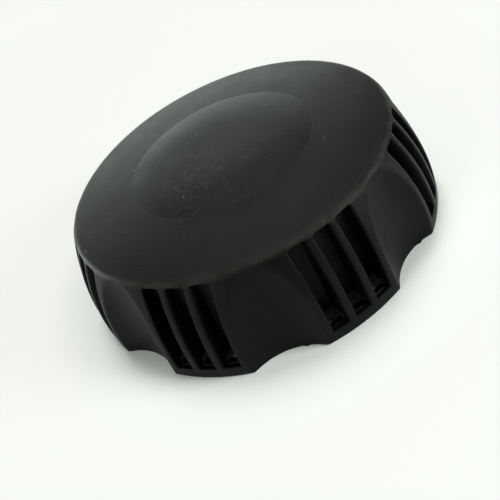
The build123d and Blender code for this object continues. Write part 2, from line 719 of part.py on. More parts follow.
def poppet_clip():
    """Open clip in the groove of the stem, which the vacuum spring lifts."""
    inner = STEM_RADIUS - CLIP_GROOVE_DEPTH + CLIP_FIT
    mouth = block(0, TALL, 2 * inner, 0, TALL)
    return tube(inner, CLIP_RADIUS, CLIP_FOOT_Z, CLIP_TOP_Z) - mouth


def vacuum_spring():
    """Light spring that holds the vacuum valve shut."""
    return spring(
        VACUUM_SPRING_FOOT,
        VACUUM_SPRING_HEAD,
        VACUUM_WIRE,
        VACUUM_TURNS,
        VALVE_TOP_Z + SPRING_SLACK,
        CLIP_FOOT_Z - SPRING_SLACK,
    )


PIECES = {
    "grip_shell": grip_shell,
    "retaining_ring": retaining_ring,
    "inner_closure": inner_closure,
    "torque_ring": torque_ring,
    "thrust_washer": thrust_washer,
    "neck_gasket": neck_gasket,
    "valve_housing": valve_housing,
    "housing_seal": housing_seal,
    "splash_guard": splash_guard,
    "flame_screen": flame_screen,
    "spring_retainer": spring_retainer,
    "vent_filter": vent_filter,
    "filter_cover": filter_cover,
    "pressure_seal": pressure_seal,
    "pressure_plate": pressure_plate,
    "pressure_spring": pressure_spring,
    "vacuum_seal": vacuum_seal,
    "vacuum_poppet": vacuum_poppet,
    "poppet_clip": poppet_clip,
    "vacuum_spring": vacuum_spring,
}

for node, make in PIECES.items():
    export_step(make(), f"parts/{node}.step")
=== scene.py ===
"""Fuel filler cap: the fine form and the finish of every piece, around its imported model."""

import logging
import math
from collections.abc import Sequence
from dataclasses import dataclass, field, fields
from enum import Enum

import bmesh
import bpy
import numpy as np
from mathutils import Matrix, Vector


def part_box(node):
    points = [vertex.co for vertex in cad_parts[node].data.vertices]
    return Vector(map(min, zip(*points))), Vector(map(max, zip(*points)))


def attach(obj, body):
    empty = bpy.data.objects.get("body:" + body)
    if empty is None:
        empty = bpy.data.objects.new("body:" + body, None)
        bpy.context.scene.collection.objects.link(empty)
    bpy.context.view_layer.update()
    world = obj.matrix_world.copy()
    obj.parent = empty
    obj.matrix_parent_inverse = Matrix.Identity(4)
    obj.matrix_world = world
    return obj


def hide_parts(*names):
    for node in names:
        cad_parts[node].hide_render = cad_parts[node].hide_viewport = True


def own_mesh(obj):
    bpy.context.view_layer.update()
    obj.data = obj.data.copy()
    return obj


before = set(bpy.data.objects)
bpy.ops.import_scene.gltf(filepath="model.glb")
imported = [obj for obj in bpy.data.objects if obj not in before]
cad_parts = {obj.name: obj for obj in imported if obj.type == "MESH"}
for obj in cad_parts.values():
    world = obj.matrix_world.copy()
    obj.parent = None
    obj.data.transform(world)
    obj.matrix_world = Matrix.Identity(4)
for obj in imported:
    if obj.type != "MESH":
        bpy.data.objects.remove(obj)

LOG = logging.getLogger("fuel_filler_cap")
MM = 0.001                              # metres in a millimetre
WELD = 0.0005                           # millimetres under which two points of a mesh are one
SHARP = math.radians(38)                # an edge that turns by more than this stays sharp
BELOW = -1.0                            # height, under the rim, where what cuts into it starts
QUARTER = tuple(math.radians(a) for a in (0, 30, 60, 90))       # steps of a rounded edge
RISING, FALLING = (0.0, 1.0), (1.0, 0.0)
MIX_SHARE, MIX_FIRST, MIX_SECOND, MIX_NUMBER = 0, 2, 3, 0       # sockets of a Mix node of numbers
MIX_A, MIX_B, MIX_COLOUR = 6, 7, 2      # and of one of colours
WAVE_PERIOD = math.pi / 10              # width of one band of the Wave texture at scale 1

# Short names for the types that come up most.
Object = bpy.types.Object
Tree = bpy.types.NodeTree
Socket = bpy.types.NodeSocket
Outputs = bpy.types.NodeOutputs
Pair = tuple[float, float]
Triple = tuple[float, float, float]
Colour = tuple[float, float, float, float]
Inputs = dict[str | int, object]
Layer = tuple[Socket, Colour | Socket]
Limit = tuple[Socket, tuple[float, ...], tuple[float, ...]]
Relief = tuple[Socket, float]


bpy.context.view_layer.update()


class Body(Enum):
    """What a piece moves with."""

    CLOSURE = "closure"
    SHELL = "shell"
    PRESSURE_VALVE = "pressure_valve"


@dataclass(frozen=True)
class Extent:
    """Outer radius, foot and top of a node, in millimetres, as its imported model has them."""

    radius: float
    foot: float
    top: float

    @classmethod
    def of(cls, node: str) -> "Extent":
        """Extent of a node of the frame.

        Args:
            node: Name of the node.

        Returns:
            Its radius, foot and top.
        """
        low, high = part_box(node)
        return cls(max(high.x, high.y) / MM, low.z / MM, high.z / MM)


# ---- meshes ----

def loft(name: str, rings: Sequence[np.ndarray]) -> Object:
    """Closed skin through rings of points, from one end of the piece to the other.

    Args:
        name: Name of the object.
        rings: Arrays of points in millimetres. Two neighbours have as many points, or one has a
            whole number of times as many, and a ring of one point is a pole.

    Returns:
        The object, linked to the scene.
    """
    faces: list[tuple[int, ...]] = []
    start = 0
    for here, there in zip(rings[:-1], rings[1:]):
        n, m = len(here), len(there)
        fine, coarse = (start, start + n) if n >= m else (start + n, start)
        more, less = max(n, m), min(n, m)
        step = more // less
        for i in range(less if less > 1 else more):
            if less == 1:
                faces.append((fine + i, fine + (i + 1) % more, coarse))
            else:
                edge = [fine + (step * i + k) % more for k in range(step + 1)]
                faces.append((*edge, coarse + (i + 1) % less, coarse + i))
        start += n
    points = np.concatenate([np.atleast_2d(ring) for ring in rings]) * MM
    mesh = bpy.data.meshes.new(name)
    mesh.from_pydata(points.tolist(), [], faces)
    return welded(name, mesh)


def capped(name: str, rings: Sequence[np.ndarray]) -> Object:
    """Skin through rings of points, closed by a point in the middle of the first and the last."""
    first, last = (end.mean(axis=0, keepdims=True) for end in (rings[0], rings[-1]))
    return loft(name, [first, *rings, last])


def welded(name: str, mesh: bpy.types.Mesh) -> Object:
    """An object for a mesh whose doubled points are joined and whose faces all look outwards.

    Args:
        name: Name of the object.
        mesh: Its mesh, which is changed.

    Returns:
        The object, linked to the scene.
    """
    edit = bmesh.new()
    edit.from_mesh(mesh)
    bmesh.ops.remove_doubles(edit, verts=edit.verts, dist=WELD * MM)
    bmesh.ops.dissolve_degenerate(edit, edges=edit.edges, dist=WELD * MM)
    bmesh.ops.recalc_face_normals(edit, faces=edit.faces)
    edit.to_mesh(mesh)
    edit.free()
    made = bpy.data.objects.new(name, mesh)
    bpy.context.scene.collection.objects.link(made)
    return made


def ring(radius: float | np.ndarray, height: float | np.ndarray, turns: np.ndarray) -> np.ndarray:
    """Points at a radius and a height over angles in radians."""
    ones = np.ones_like(turns)
    return np.stack([radius * np.cos(turns), radius * np.sin(turns), height * ones], axis=1)


def full_turn(count: int, start: float = 0.0) -> np.ndarray:
    """Angles in radians, evenly spaced over a turn."""
    return start + np.arange(count) * 2 * math.pi / count


def turned(name: str, outline: Sequence[Pair], count: int = 144) -> Object:
    """Body of revolution whose outline starts and ends on the axis, or closes on itself.

    Args:
        name: Name of the object.
        outline: Points of (radius, height) in millimetres.
        count: Points round the axis.

    Returns:
        The object.
    """
    turns = full_turn(count)
    rings = [ring(r, z, turns) if r > 0 else np.array([[0.0, 0.0, z]]) for r, z in outline]
    if outline[0][0] > 0:
        rings.append(rings[0])
    return loft(name, rings)


def block(name: str, low: Triple, high: Triple) -> Object:
    """Rectangular block.

    Args:
        name: Name of the object.
        low: Its lowest corner (x, y, z) in millimetres.
        high: Its highest corner.

    Returns:
        The object.
    """
    (left, front, foot), (right, back, top) = low, high
    base = np.array([[left, front, foot], [right, front, foot], [right, back, foot], [left, back, foot]])
    middle = np.array([[(left + right) / 2, (front + back) / 2, 0.0]])
    lid = base + np.array([0.0, 0.0, top - foot])
    return loft(name, [middle + [0, 0, foot], base, lid, middle + [0, 0, top]])


def repeated(part: Object, places: Sequence[Matrix]) -> Object:
    """Puts a copy of a part's mesh at every place, all in the one object.

    Args:
        part: The part, whose own mesh gives way to the copies.
        places: Where each copy stands.

    Returns:
        The part.
    """
    edit = bmesh.new()
    for place in places:
        copy = part.data.copy()
        copy.transform(place)
        edit.from_mesh(copy)
        bpy.data.meshes.remove(copy)
    edit.to_mesh(part.data)
    edit.free()
    return part


def around(count: int, start: float = 0.0) -> list[Matrix]:
    """Turns about Z, evenly spaced from a start angle in radians."""
    return [Matrix.Rotation(angle, 4, "Z") for angle in full_turn(count, start)]


class Joinery(Enum):
    """How a second solid changes a first one."""

    CUT = "DIFFERENCE"
    ADD = "UNION"


def joined(part: Object, tool: Object, how: Joinery) -> Object:
    """Cuts a tool out of a part or adds it, and removes the tool.

    Args:
        part: The solid that stays.
        tool: The solid that changes it.
        how: Whether the tool is cut out or added.

    Returns:
        The part, with its new mesh.
    """
    change = part.modifiers.new("change", "BOOLEAN")
    change.operation = how.value
    change.solver = "MANIFOLD"
    change.object = tool
    done = part.evaluated_get(bpy.context.evaluated_depsgraph_get())
    mesh = bpy.data.meshes.new_from_object(done)
    part.modifiers.clear()
    part.data = mesh
    bpy.data.objects.remove(tool)
    if not mesh.polygons:
        raise ValueError(f"{part.name} lost its mesh")
    return part


def shade_smooth(part: Object) -> None:
    """Shades a part smooth, but for its sharp edges.

    Args:
        part: The part.
    """
    edit = bmesh.new()
    edit.from_mesh(part.data)
    for edge in edit.edges:
        edge.smooth = len(edge.link_faces) == 2 and edge.calc_face_angle(0.0) < SHARP
    for face in edit.faces:
        face.smooth = True
    edit.to_mesh(part.data)
    edit.free()


# ---- materials ----

def linear(code: str) -> Colour:
    """Turns an sRGB colour to a linear one.

    Args:
        code: Hex value such as "#1c1d1d".

    Returns:
        Red, green, blue and an alpha of 1.
    """
    channels = [int(code[i:i + 2], 16) / 255 for i in (1, 3, 5)]
    red, green, blue = (c / 12.92 if c <= 0.04045 else ((c + 0.055) / 1.055) ** 2.4 for c in channels)
    return red, green, blue, 1.0


def metres(*sizes: float) -> tuple[float, ...]:
    """Sizes in millimetres as metres."""
    return tuple(size * MM for size in sizes)


def per_metre(size: float) -> float:
    """Scale of a pattern whose grain has this size in millimetres."""
    return 1 / (size * MM)


def add_node(tree: Tree, kind: str, inputs: Inputs | None = None, **settings: object) -> Outputs:
    """Adds a shader node with its settings and its links.

    Args:
        tree: Node tree that gets the node.
        kind: Its type, without the "ShaderNode" that every type starts with.
        inputs: For each input's name or number, a value to set or a socket to link from.
        settings: Properties of the node.

    Returns:
        The node's outputs.
    """
    made = tree.nodes.new(f"ShaderNode{kind}")
    for key, value in settings.items():
        setattr(made, key, value)
    for key, value in (inputs or {}).items():
        if isinstance(value, Socket):
            tree.links.new(value, made.inputs[key])
        else:
            made.inputs[key].default_value = value
    return made.outputs


def layered(tree: Tree, ground: Colour | Socket, *layers: Layer) -> Socket:
    """Lays colours over a ground.

    Args:
        tree: Node tree of the material.
        ground: Colour under the layers.
        layers: From the lowest up, the share of each layer and its colour.

    Returns:
        The socket of the colour.
    """
    for share, colour in layers:
        inputs = {MIX_SHARE: share, MIX_A: ground, MIX_B: colour}
        ground = add_node(tree, "Mix", inputs, data_type="RGBA")[MIX_COLOUR]
    return ground


def limited(tree: Tree, *limits: Limit) -> Socket:
    """Share of a layer that every limit can take something from.

    Args:
        tree: Node tree of the material.
        limits: For each, a value, the span over which it has its effect, and the shares at the
            start and the end of that span.

    Returns:
        The socket of the product of the limits' shares.
    """
    parts = [add_node(tree, "MapRange", dict(enumerate((value, *span, *shares))))[0]
             for value, span, shares in limits]
    whole = parts[0]
    for part in parts[1:]:
        whole = add_node(tree, "Math", {0: whole, 1: part}, operation="MULTIPLY")[0]
    return whole


def from_axis(tree: Tree, place: Socket) -> Socket:
    """Distance of a place from the axis, in metres."""
    flat = add_node(tree, "VectorMath", {0: place, 1: (1.0, 1.0, 0.0)}, operation="MULTIPLY")["Vector"]
    return add_node(tree, "VectorMath", {0: flat}, operation="LENGTH")["Value"]


@dataclass(frozen=True)
class Clouds:
    """Cloudy pattern, drawn to a real size."""

    size: float             # of its largest clouds, in millimetres
    detail: float           # how many finer sets of clouds lie in them, each half as large
    rough: float = 0.5      # how strong the finer ones are

    def build(self, tree: Tree, place: Socket) -> Socket:
        """Makes the pattern, whose values run from 0 to 1."""
        form = {"Scale": per_metre(self.size), "Detail": self.detail, "Roughness": self.rough}
        return add_node(tree, "TexNoise", {"Vector": place, **form})["Fac"]


@dataclass(frozen=True)
class Finish:
    """A surface with a fine grain, whose colour and gloss vary a little. Sizes are in millimetres."""

    name: str
    colour: str
    mottle: str                 # colour that the surface varies towards
    roughness: float
    ior: float = 1.5
    specular: float = 0.5       # 0.5 is the reflection that the IOR gives
    metallic: float = 0.0
    grain: float = 0.4
    grain_height: float = 0.01
    grain_detail: float = 2.0
    grain_rough: float = 0.5
    mottle_size: float = 6.0
    mottle_detail: float = 3.0
    mottle_span: Pair = (0.3, 0.7)      # values of the clouds between the least and the most rough
    roughness_spread: float = 0.06

    def build(self) -> bpy.types.Material:
        """Makes the material.

        Returns:
            The material, named for what it is.
        """
        made = bpy.data.materials.new(self.name)
        made.use_nodes = True
        made.diffuse_color = linear(self.colour)
        tree = made.node_tree
        shader = tree.nodes["Principled BSDF"]
        shader.inputs["Metallic"].default_value = self.metallic
        if not self.metallic:
            shader.inputs["IOR"].default_value = self.ior
            shader.inputs["Specular IOR Level"].default_value = self.specular
        place = add_node(tree, "TexCoord")["Object"]
        cloud = Clouds(self.mottle_size, self.mottle_detail).build(tree, place)
        tree.links.new(self.paint(tree, place, cloud), shader.inputs["Base Color"])
        tree.links.new(self.gloss(tree, place, cloud), shader.inputs["Roughness"])
        under: Inputs = {}
        for pattern, height in self.reliefs(tree, place):
            inputs = {"Height": pattern, "Distance": abs(height) * MM, **under}
            under = {"Normal": add_node(tree, "Bump", inputs, invert=height < 0)["Normal"]}
        tree.links.new(under["Normal"], shader.inputs["Normal"])
        return made

    def paint(self, tree: Tree, place: Socket, cloud: Socket) -> Socket:
        """Colour of the surface.

        Args:
            tree: Node tree of the material.
            place: Place on the surface, in metres.
            cloud: Clouds over which the surface varies.

        Returns:
            The socket of the colour.
        """
        return layered(tree, linear(self.colour), (cloud, linear(self.mottle)))

    def gloss(self, tree: Tree, place: Socket, cloud: Socket) -> Socket:
        """Roughness of the surface.

        Args:
            tree: Node tree of the material.
            place: Place on the surface, in metres.
            cloud: Clouds over which the surface varies.

        Returns:
            The socket of the roughness.
        """
        spread = self.roughness_spread
        return limited(tree, (cloud, self.mottle_span, (self.roughness - spread, self.roughness + spread)))

    def reliefs(self, tree: Tree, place: Socket) -> list[Relief]:
        """What stands out of the surface: its fine grain.

        Args:
            tree: Node tree of the material.
            place: Place on the surface, in metres.

        Returns:
            From the lowest up, a pattern and how far its value 1 lifts the surface.
        """
        grain = Clouds(self.grain, self.grain_detail, self.grain_rough)
        return [(grain.build(tree, place), self.grain_height)]


@dataclass(frozen=True)
class HandledMoulding(Finish):
    """Blasted mould skin that hands and dust have been at, with a painted highlight along the crown's edge
    and painted light on the ledges of the pockets.
    """

    grain_detail: float = 3.0
    grain_rough: float = 0.6
    lobes: int = 8
    crown_heights: Pair = (22.0, 23.5)      # over which the skin becomes that of the crown
    lighter_crown_colour: str = "#18191a"            # lighter clouded tone over the top of the crown
    lighter_crown_clouds: tuple[Clouds, Clouds] = (Clouds(9.0, 4.0), Clouds(4.0, 6.0))
    scuff_colour: str = "#383733"
    scuff_clouds: Clouds = Clouds(1.3, 8.0, 0.75)
    scuff_span: Pair = (0.52, 0.66)         # values of the clouds between no mark and a full one
    scuff_centre: Triple = (-9.0, -6.0, 25.0)
    scuff_radii: Pair = (3.4, 17.0)         # round that centre, over which the marks get fewer
    scuff_shares: Pair = (0.9, 0.08)
    scuff_dulling: float = 0.15             # added to the roughness where the skin is scuffed
    edge_highlight_colour: str = "#3d3a35"             # painted highlight along the edge of the crown
    edge_highlight_heights: Triple = (21.6, 22.35, 22.75)      # foot, middle and top of the band of the painted highlight
    edge_highlight_clouds: Clouds = Clouds(3.0, 8.0, 0.75)
    edge_highlight_span: Pair = (0.36, 0.68)
    edge_highlight_shares: Pair = (0.2, 0.75)
    dust_and_painted_light_colour: str = "#8a8883"            # dust on the ledges at the foot of the pockets, with a painted patch of light there
    dust_and_painted_light_starts: Pair = (1.72, 2.22)        # heights over which it begins
    dust_and_painted_light_ends: Pair = (2.72, 3.4)           # heights over which it ends
    dust_and_painted_light_radii: Pair = (40.7, 41.2)         # over which it ends at the foot bars
    dust_and_painted_light_lobe: Pair = (-0.25, -0.05)        # over which a wave round the cap passes from scallop to lobe
    dust_and_painted_light_clouds: Clouds = Clouds(1.0, 5.0)
    dust_and_painted_light_span: Pair = (0.3, 0.6)
    dust_and_painted_light_shares: Pair = (0.35, 0.9)
    speck_colour: str = "#b4b4ad"
    speck_pitch: float = 3.2                # between places where a speck can be
    speck_radii: Pair = (0.09, 0.15)        # over which a speck ends
    speck_share: float = 0.8
    speck_pick: Pair = (0.70, 0.72)         # random value from which a place has its speck
    line_radius: float = 21.4               # of the fine line round the raised centre
    line_half: float = 0.35                 # half its width
    line_heights: Pair = (22.0, 22.5)       # over which it begins
    line_depth: float = 0.05

    def paint(self, tree: Tree, place: Socket, cloud: Socket) -> Socket:
        """Colour, with a lighter tone on the crown, scuffs, a painted highlight on the crown's edge, dust
        with painted light on the ledges, and specks.

        Args:
            tree: Node tree of the material.
            place: Place on the surface, in metres.
            cloud: Clouds over which the surface varies.

        Returns:
            The socket of the colour.
        """
        height = add_node(tree, "SeparateXYZ", {0: place})["Z"]
        # A lighter clouded tone over the top of the crown.
        lighter_crown = linear(self.lighter_crown_colour)
        crown_with_lighter_tone = layered(
            tree, linear(self.colour), *((clouds.build(tree, place), lighter_crown) for clouds in self.lighter_crown_clouds))
        return layered(
            tree,
            super().paint(tree, place, cloud),
            (limited(tree, (height, metres(*self.crown_heights), RISING)), crown_with_lighter_tone),
            (self.scuffed(tree, place), linear(self.scuff_colour)),
            # Painted highlight along the rounded edge of the crown.
            (self.painted_edge_highlight(tree, place, height), linear(self.edge_highlight_colour)),
            # Dust and a painted patch of light at the feet of the pockets.
            (self.ledge_dust_and_painted_light(tree, place, height), linear(self.dust_and_painted_light_colour)),
            (self.specks(tree, place), linear(self.speck_colour)),
        )

    def gloss(self, tree: Tree, place: Socket, cloud: Socket) -> Socket:
        """Roughness, duller where the skin is scuffed.

        Args:
            tree: Node tree of the material.
            place: Place on the surface, in metres.
            cloud: Clouds over which the surface varies.

        Returns:
            The socket of the roughness.
        """
        plain = super().gloss(tree, place, cloud)
        scuffs, dull = self.scuffed(tree, place), self.roughness + self.scuff_dulling
        return add_node(tree, "Mix", {MIX_SHARE: scuffs, MIX_FIRST: plain, MIX_SECOND: dull})[MIX_NUMBER]

    def scuffed(self, tree: Tree, place: Socket) -> Socket:
        """Share of scuff marks, which are thickest where a palm turns the cap.

        Args:
            tree: Node tree of the material.
            place: Place on the surface, in metres.

        Returns:
            The socket of the share.
        """
        ends = {0: place, 1: metres(*self.scuff_centre)}
        away = add_node(tree, "VectorMath", ends, operation="DISTANCE")["Value"]
        height = add_node(tree, "SeparateXYZ", {0: place})["Z"]
        return limited(
            tree,
            (away, metres(*self.scuff_radii), self.scuff_shares),
            (self.scuff_clouds.build(tree, place), self.scuff_span, RISING),
            (height, metres(*self.crown_heights), RISING),
        )

    def painted_edge_highlight(self, tree: Tree, place: Socket, height: Socket) -> Socket:
        """Share of the painted highlight along the edge of the crown.

        Args:
            tree: Node tree of the material.
            place: Place on the surface, in metres.
            height: Its height.

        Returns:
            The socket of the share.
        """
        foot, middle, top = metres(*self.edge_highlight_heights)
        return limited(
            tree,
            (height, (foot, middle), RISING),
            (height, (middle, top), FALLING),
            (self.edge_highlight_clouds.build(tree, place), self.edge_highlight_span, self.edge_highlight_shares),
        )

    def ledge_dust_and_painted_light(self, tree: Tree, place: Socket, height: Socket) -> Socket:
        """Share of dust and painted light on the ledges at the foot of the pockets.

        Args:
            tree: Node tree of the material.
            place: Place on the surface, in metres.
            height: Its height.

        Returns:
            The socket of the share.
        """
        split = add_node(tree, "SeparateXYZ", {0: place})
        turn = add_node(tree, "Math", {0: split["Y"], 1: split["X"]}, operation="ARCTAN2")[0]
        turns = add_node(tree, "Math", {0: turn, 1: float(self.lobes)}, operation="MULTIPLY")[0]
        wave = add_node(tree, "Math", {0: turns}, operation="COSINE")[0]
        return limited(
            tree,
            (height, metres(*self.dust_and_painted_light_ends), FALLING),
            (height, metres(*self.dust_and_painted_light_starts), RISING),
            (from_axis(tree, place), metres(*self.dust_and_painted_light_radii), FALLING),
            (wave, self.dust_and_painted_light_lobe, RISING),
            (self.dust_and_painted_light_clouds.build(tree, place), self.dust_and_painted_light_span, self.dust_and_painted_light_shares),
        )

    def specks(self, tree: Tree, place: Socket) -> Socket:
        """Share of pale specks, which only some of the places for one have.

        Args:
            tree: Node tree of the material.
            place: Place on the surface, in metres.

        Returns:
            The socket of the share.
        """
        cells = add_node(tree, "TexVoronoi", {"Vector": place, "Scale": per_metre(self.speck_pitch)})
        core, reach = (radius / self.speck_pitch for radius in self.speck_radii)
        pick = add_node(tree, "SeparateColor", {0: cells["Color"]})["Red"]
        return limited(
            tree,
            (cells["Distance"], (core, reach), (self.speck_share, 0.0)),
            (pick, self.speck_pick, RISING),
        )

    def reliefs(self, tree: Tree, place: Socket) -> list[Relief]:
        """What stands out: the fine line round the raised centre, and the blasted grain.

        Args:
            tree: Node tree of the material.
            place: Place on the surface, in metres.

        Returns:
            From the lowest up, a pattern and how far its value 1 lifts the surface.
        """
        height = add_node(tree, "SeparateXYZ", {0: place})["Z"]
        on_crown = limited(tree, (height, metres(*self.line_heights), RISING))
        ends = dict(enumerate((from_axis(tree, place), *metres(self.line_radius, self.line_half))))
        band = add_node(tree, "Math", ends, operation="COMPARE")[0]
        line = add_node(tree, "Math", {0: band, 1: on_crown}, operation="MULTIPLY")[0]
        return [(line, -self.line_depth), *super().reliefs(tree, place)]


@dataclass(frozen=True)
class LatheTurned(Finish):
    """Metal with the fine rings that a lathe tool leaves round the axis."""

    feed: float = 0.18          # drawn a little coarser than a real feed so that it shows
    groove: float = 0.006
    wander: float = 0.3         # how far a ring strays from its circle

    def reliefs(self, tree: Tree, place: Socket) -> list[Relief]:
        """What stands out: the fine grain, and the rings round the axis.

        Args:
            tree: Node tree of the material.
            place: Place on the surface, in metres.

        Returns:
            From the lowest up, a pattern and how far its value 1 lifts the surface.
        """
        inputs = {"Vector": place, "Scale": WAVE_PERIOD * per_metre(self.feed), "Distortion": self.wander}
        rings = add_node(tree, "TexWave", inputs, wave_type="RINGS", rings_direction="Z")["Fac"]
        return [*super().reliefs(tree, place), (rings, self.groove)]


@dataclass(frozen=True)
class OpenCellFoam(Finish):
    """Foam whose cut face shows round cells, with painted shade in their hollows."""

    cell: float = 0.9
    hollow: float = 0.35        # depth of a cell
    wall: Pair = (0.15, 0.7)    # over which the colour goes from the painted shade of the hollow to the wall, in parts of a cell

    def paint(self, tree: Tree, place: Socket, cloud: Socket) -> Socket:
        """Colour, with painted shade in the hollows.

        Args:
            tree: Node tree of the material.
            place: Place on the surface, in metres.
            cloud: Clouds over which the surface varies.

        Returns:
            The socket of the colour.
        """
        # The mottle colour stands as painted shade in the hollows of the cells.
        wall = limited(tree, (self.cells(tree, place), self.wall, RISING))
        return layered(tree, linear(self.mottle), (wall, linear(self.colour)))

    def reliefs(self, tree: Tree, place: Socket) -> list[Relief]:
        """What stands out: the walls of the cells."""
        return [(self.cells(tree, place), self.hollow)]

    def cells(self, tree: Tree, place: Socket) -> Socket:
        """Distance from the middle of the nearest cell."""
        return add_node(tree, "TexVoronoi", {"Vector": place, "Scale": per_metre(self.cell)})["Distance"]


@dataclass(frozen=True)
class FinishSet:
    """What every piece is made of, by the kind of work that made its surface."""

    # Glass-filled nylon from a blasted mould: near black, satin, with a sand-like grain whose pits
    # swallow much of the reflection, so its level is far under that of smooth plastic.
    shell: Finish = HandledMoulding(
        "blast_moulded_black_polyamide", "#070808", "#0a0a0b", 0.42, 1.53, 0.08,
        grain=0.34, grain_height=0.1, roughness_spread=0.03)
    # The same nylon from a polished mould: greyer than the shell, with hardly any grain.
    ring: Finish = Finish(
        "moulded_black_polyamide", "#171718", "#1d1d1e", 0.42, 1.53, grain_height=0.006)
    # Unfilled nylon from a smooth mould: greyer black, with soft flow marks.
    closure: Finish = Finish(
        "smooth_moulded_polyamide", "#222223", "#2a2a2c", 0.36, 1.53,
        grain=1.6, grain_height=0.008, mottle_size=11)
    # Natural acetal: waxy white that is nearly even.
    ratchet: Finish = Finish(
        "moulded_natural_acetal", "#dbd7cb", "#e4e1d8", 0.33, 1.48, grain=0.9, grain_height=0.005)
    # Zinc-plated strip, stamped and tumbled: grey with a fine peened grain.
    washer: Finish = Finish(
        "stamped_zinc_plated_steel", "#b9babb", "#a5a6a8", 0.34,
        metallic=1.0, grain=0.5, grain_height=0.01)
    # Nitrile rubber from a steam-heated mould: dull black with a faint grey bloom.
    gasket: Finish = Finish(
        "moulded_nitrile_rubber", "#151515", "#232322", 0.68, 1.52,
        grain=0.25, grain_height=0.012, mottle_size=4)
    # Black acetal copolymer: even, slightly shiny.
    housing: Finish = Finish(
        "moulded_black_acetal", "#1c1c1d", "#222224", 0.3, 1.48, grain=1.2, grain_height=0.005)
    # Drawn brass wire, woven and rolled: yellow, varying in tone in small clouds.
    screen: Finish = Finish(
        "woven_brass_wire", "#d9b765", "#b08a3f", 0.3,
        metallic=1.0, grain=0.15, grain_height=0.004, mottle_size=2)
    # Polyester foam cut to a disc: matt grey; its mottle colour is painted shade in the hollow of every
    # cell.
    foam: Finish = OpenCellFoam("cut_polyester_foam", "#8b8b88", "#2c2c2b", 0.9, 1.45)
    # Drawn spring wire: bright grey with a faint haze.
    spring: Finish = Finish(
        "drawn_spring_steel", "#c3c4c6", "#a9aaac", 0.26,
        metallic=1.0, grain=0.2, grain_height=0.004, mottle_size=1.5)
    # Free-cutting brass bar, turned on a lathe: yellow, with a sheen that follows its fine rings.
    brass: Finish = LatheTurned(
        "turned_brass", "#dcb968", "#c29c4b", 0.24,
        metallic=1.0, grain=0.6, grain_height=0.003, mottle_size=4)
    # Fluorocarbon rubber from a mould: dull red-brown.
    valve_rubber: Finish = Finish(
        "moulded_fluorocarbon_rubber", "#5a3226", "#6a3c2e", 0.62, 1.42,
        grain=0.3, grain_height=0.01, mottle_size=3)


# ---- what becomes of a piece ----

def placed(part: Object, finish: bpy.types.Material, body: Body, node: str) -> Object:
    """Dresses a piece, makes it ride on its body and puts it in the place of a node.

    Args:
        part: The piece.
        finish: Its material.
        body: What it moves with.
        node: The node that it stands for.

    Returns:
        The piece.
    """
    shade_smooth(part)
    part.data.materials.clear()
    part.data.materials.append(finish)
    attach(part, body.value)
    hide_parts(node)
    triangles = sum(len(face.vertices) - 2 for face in part.data.polygons)
    LOG.info("%s stands for %s, with %d triangles", part.name, node, triangles)
    return part


# ---- grip shell ----

@dataclass(frozen=True)
class Column:
    """Upright line of points on half a lobe: its place across the lobe, and how deep it lies."""

    centre: float = 0.0     # middle of its pocket, across the lobe
    reach: float = 0.0      # share of the pocket's half width, with its side
    offset: float = 0.0     # further across, in millimetres
    depth: float = 0.0      # share of the pocket's depth inside the rounded mouth
    mouth: float = 0.0      # depth within the rounded mouth, in millimetres
    hold: float = 0.0       # 1 follows the heights of the pocket, 0 those of the flank
    share: float = 0.0      # share of the way from the last pocket to the middle of the scallop


@dataclass(frozen=True)
class Row:
    """Level of points: its height on the flank and in the pockets, and what limits the pockets there."""

    flank: float
    pocket: float
    limit: float = math.inf     # deepest that a pocket may be at this level
    inset: float = 0.0          # how far the level stands inside the skin
    radius: float | None = None     # of the skin, where it isn't the flank's


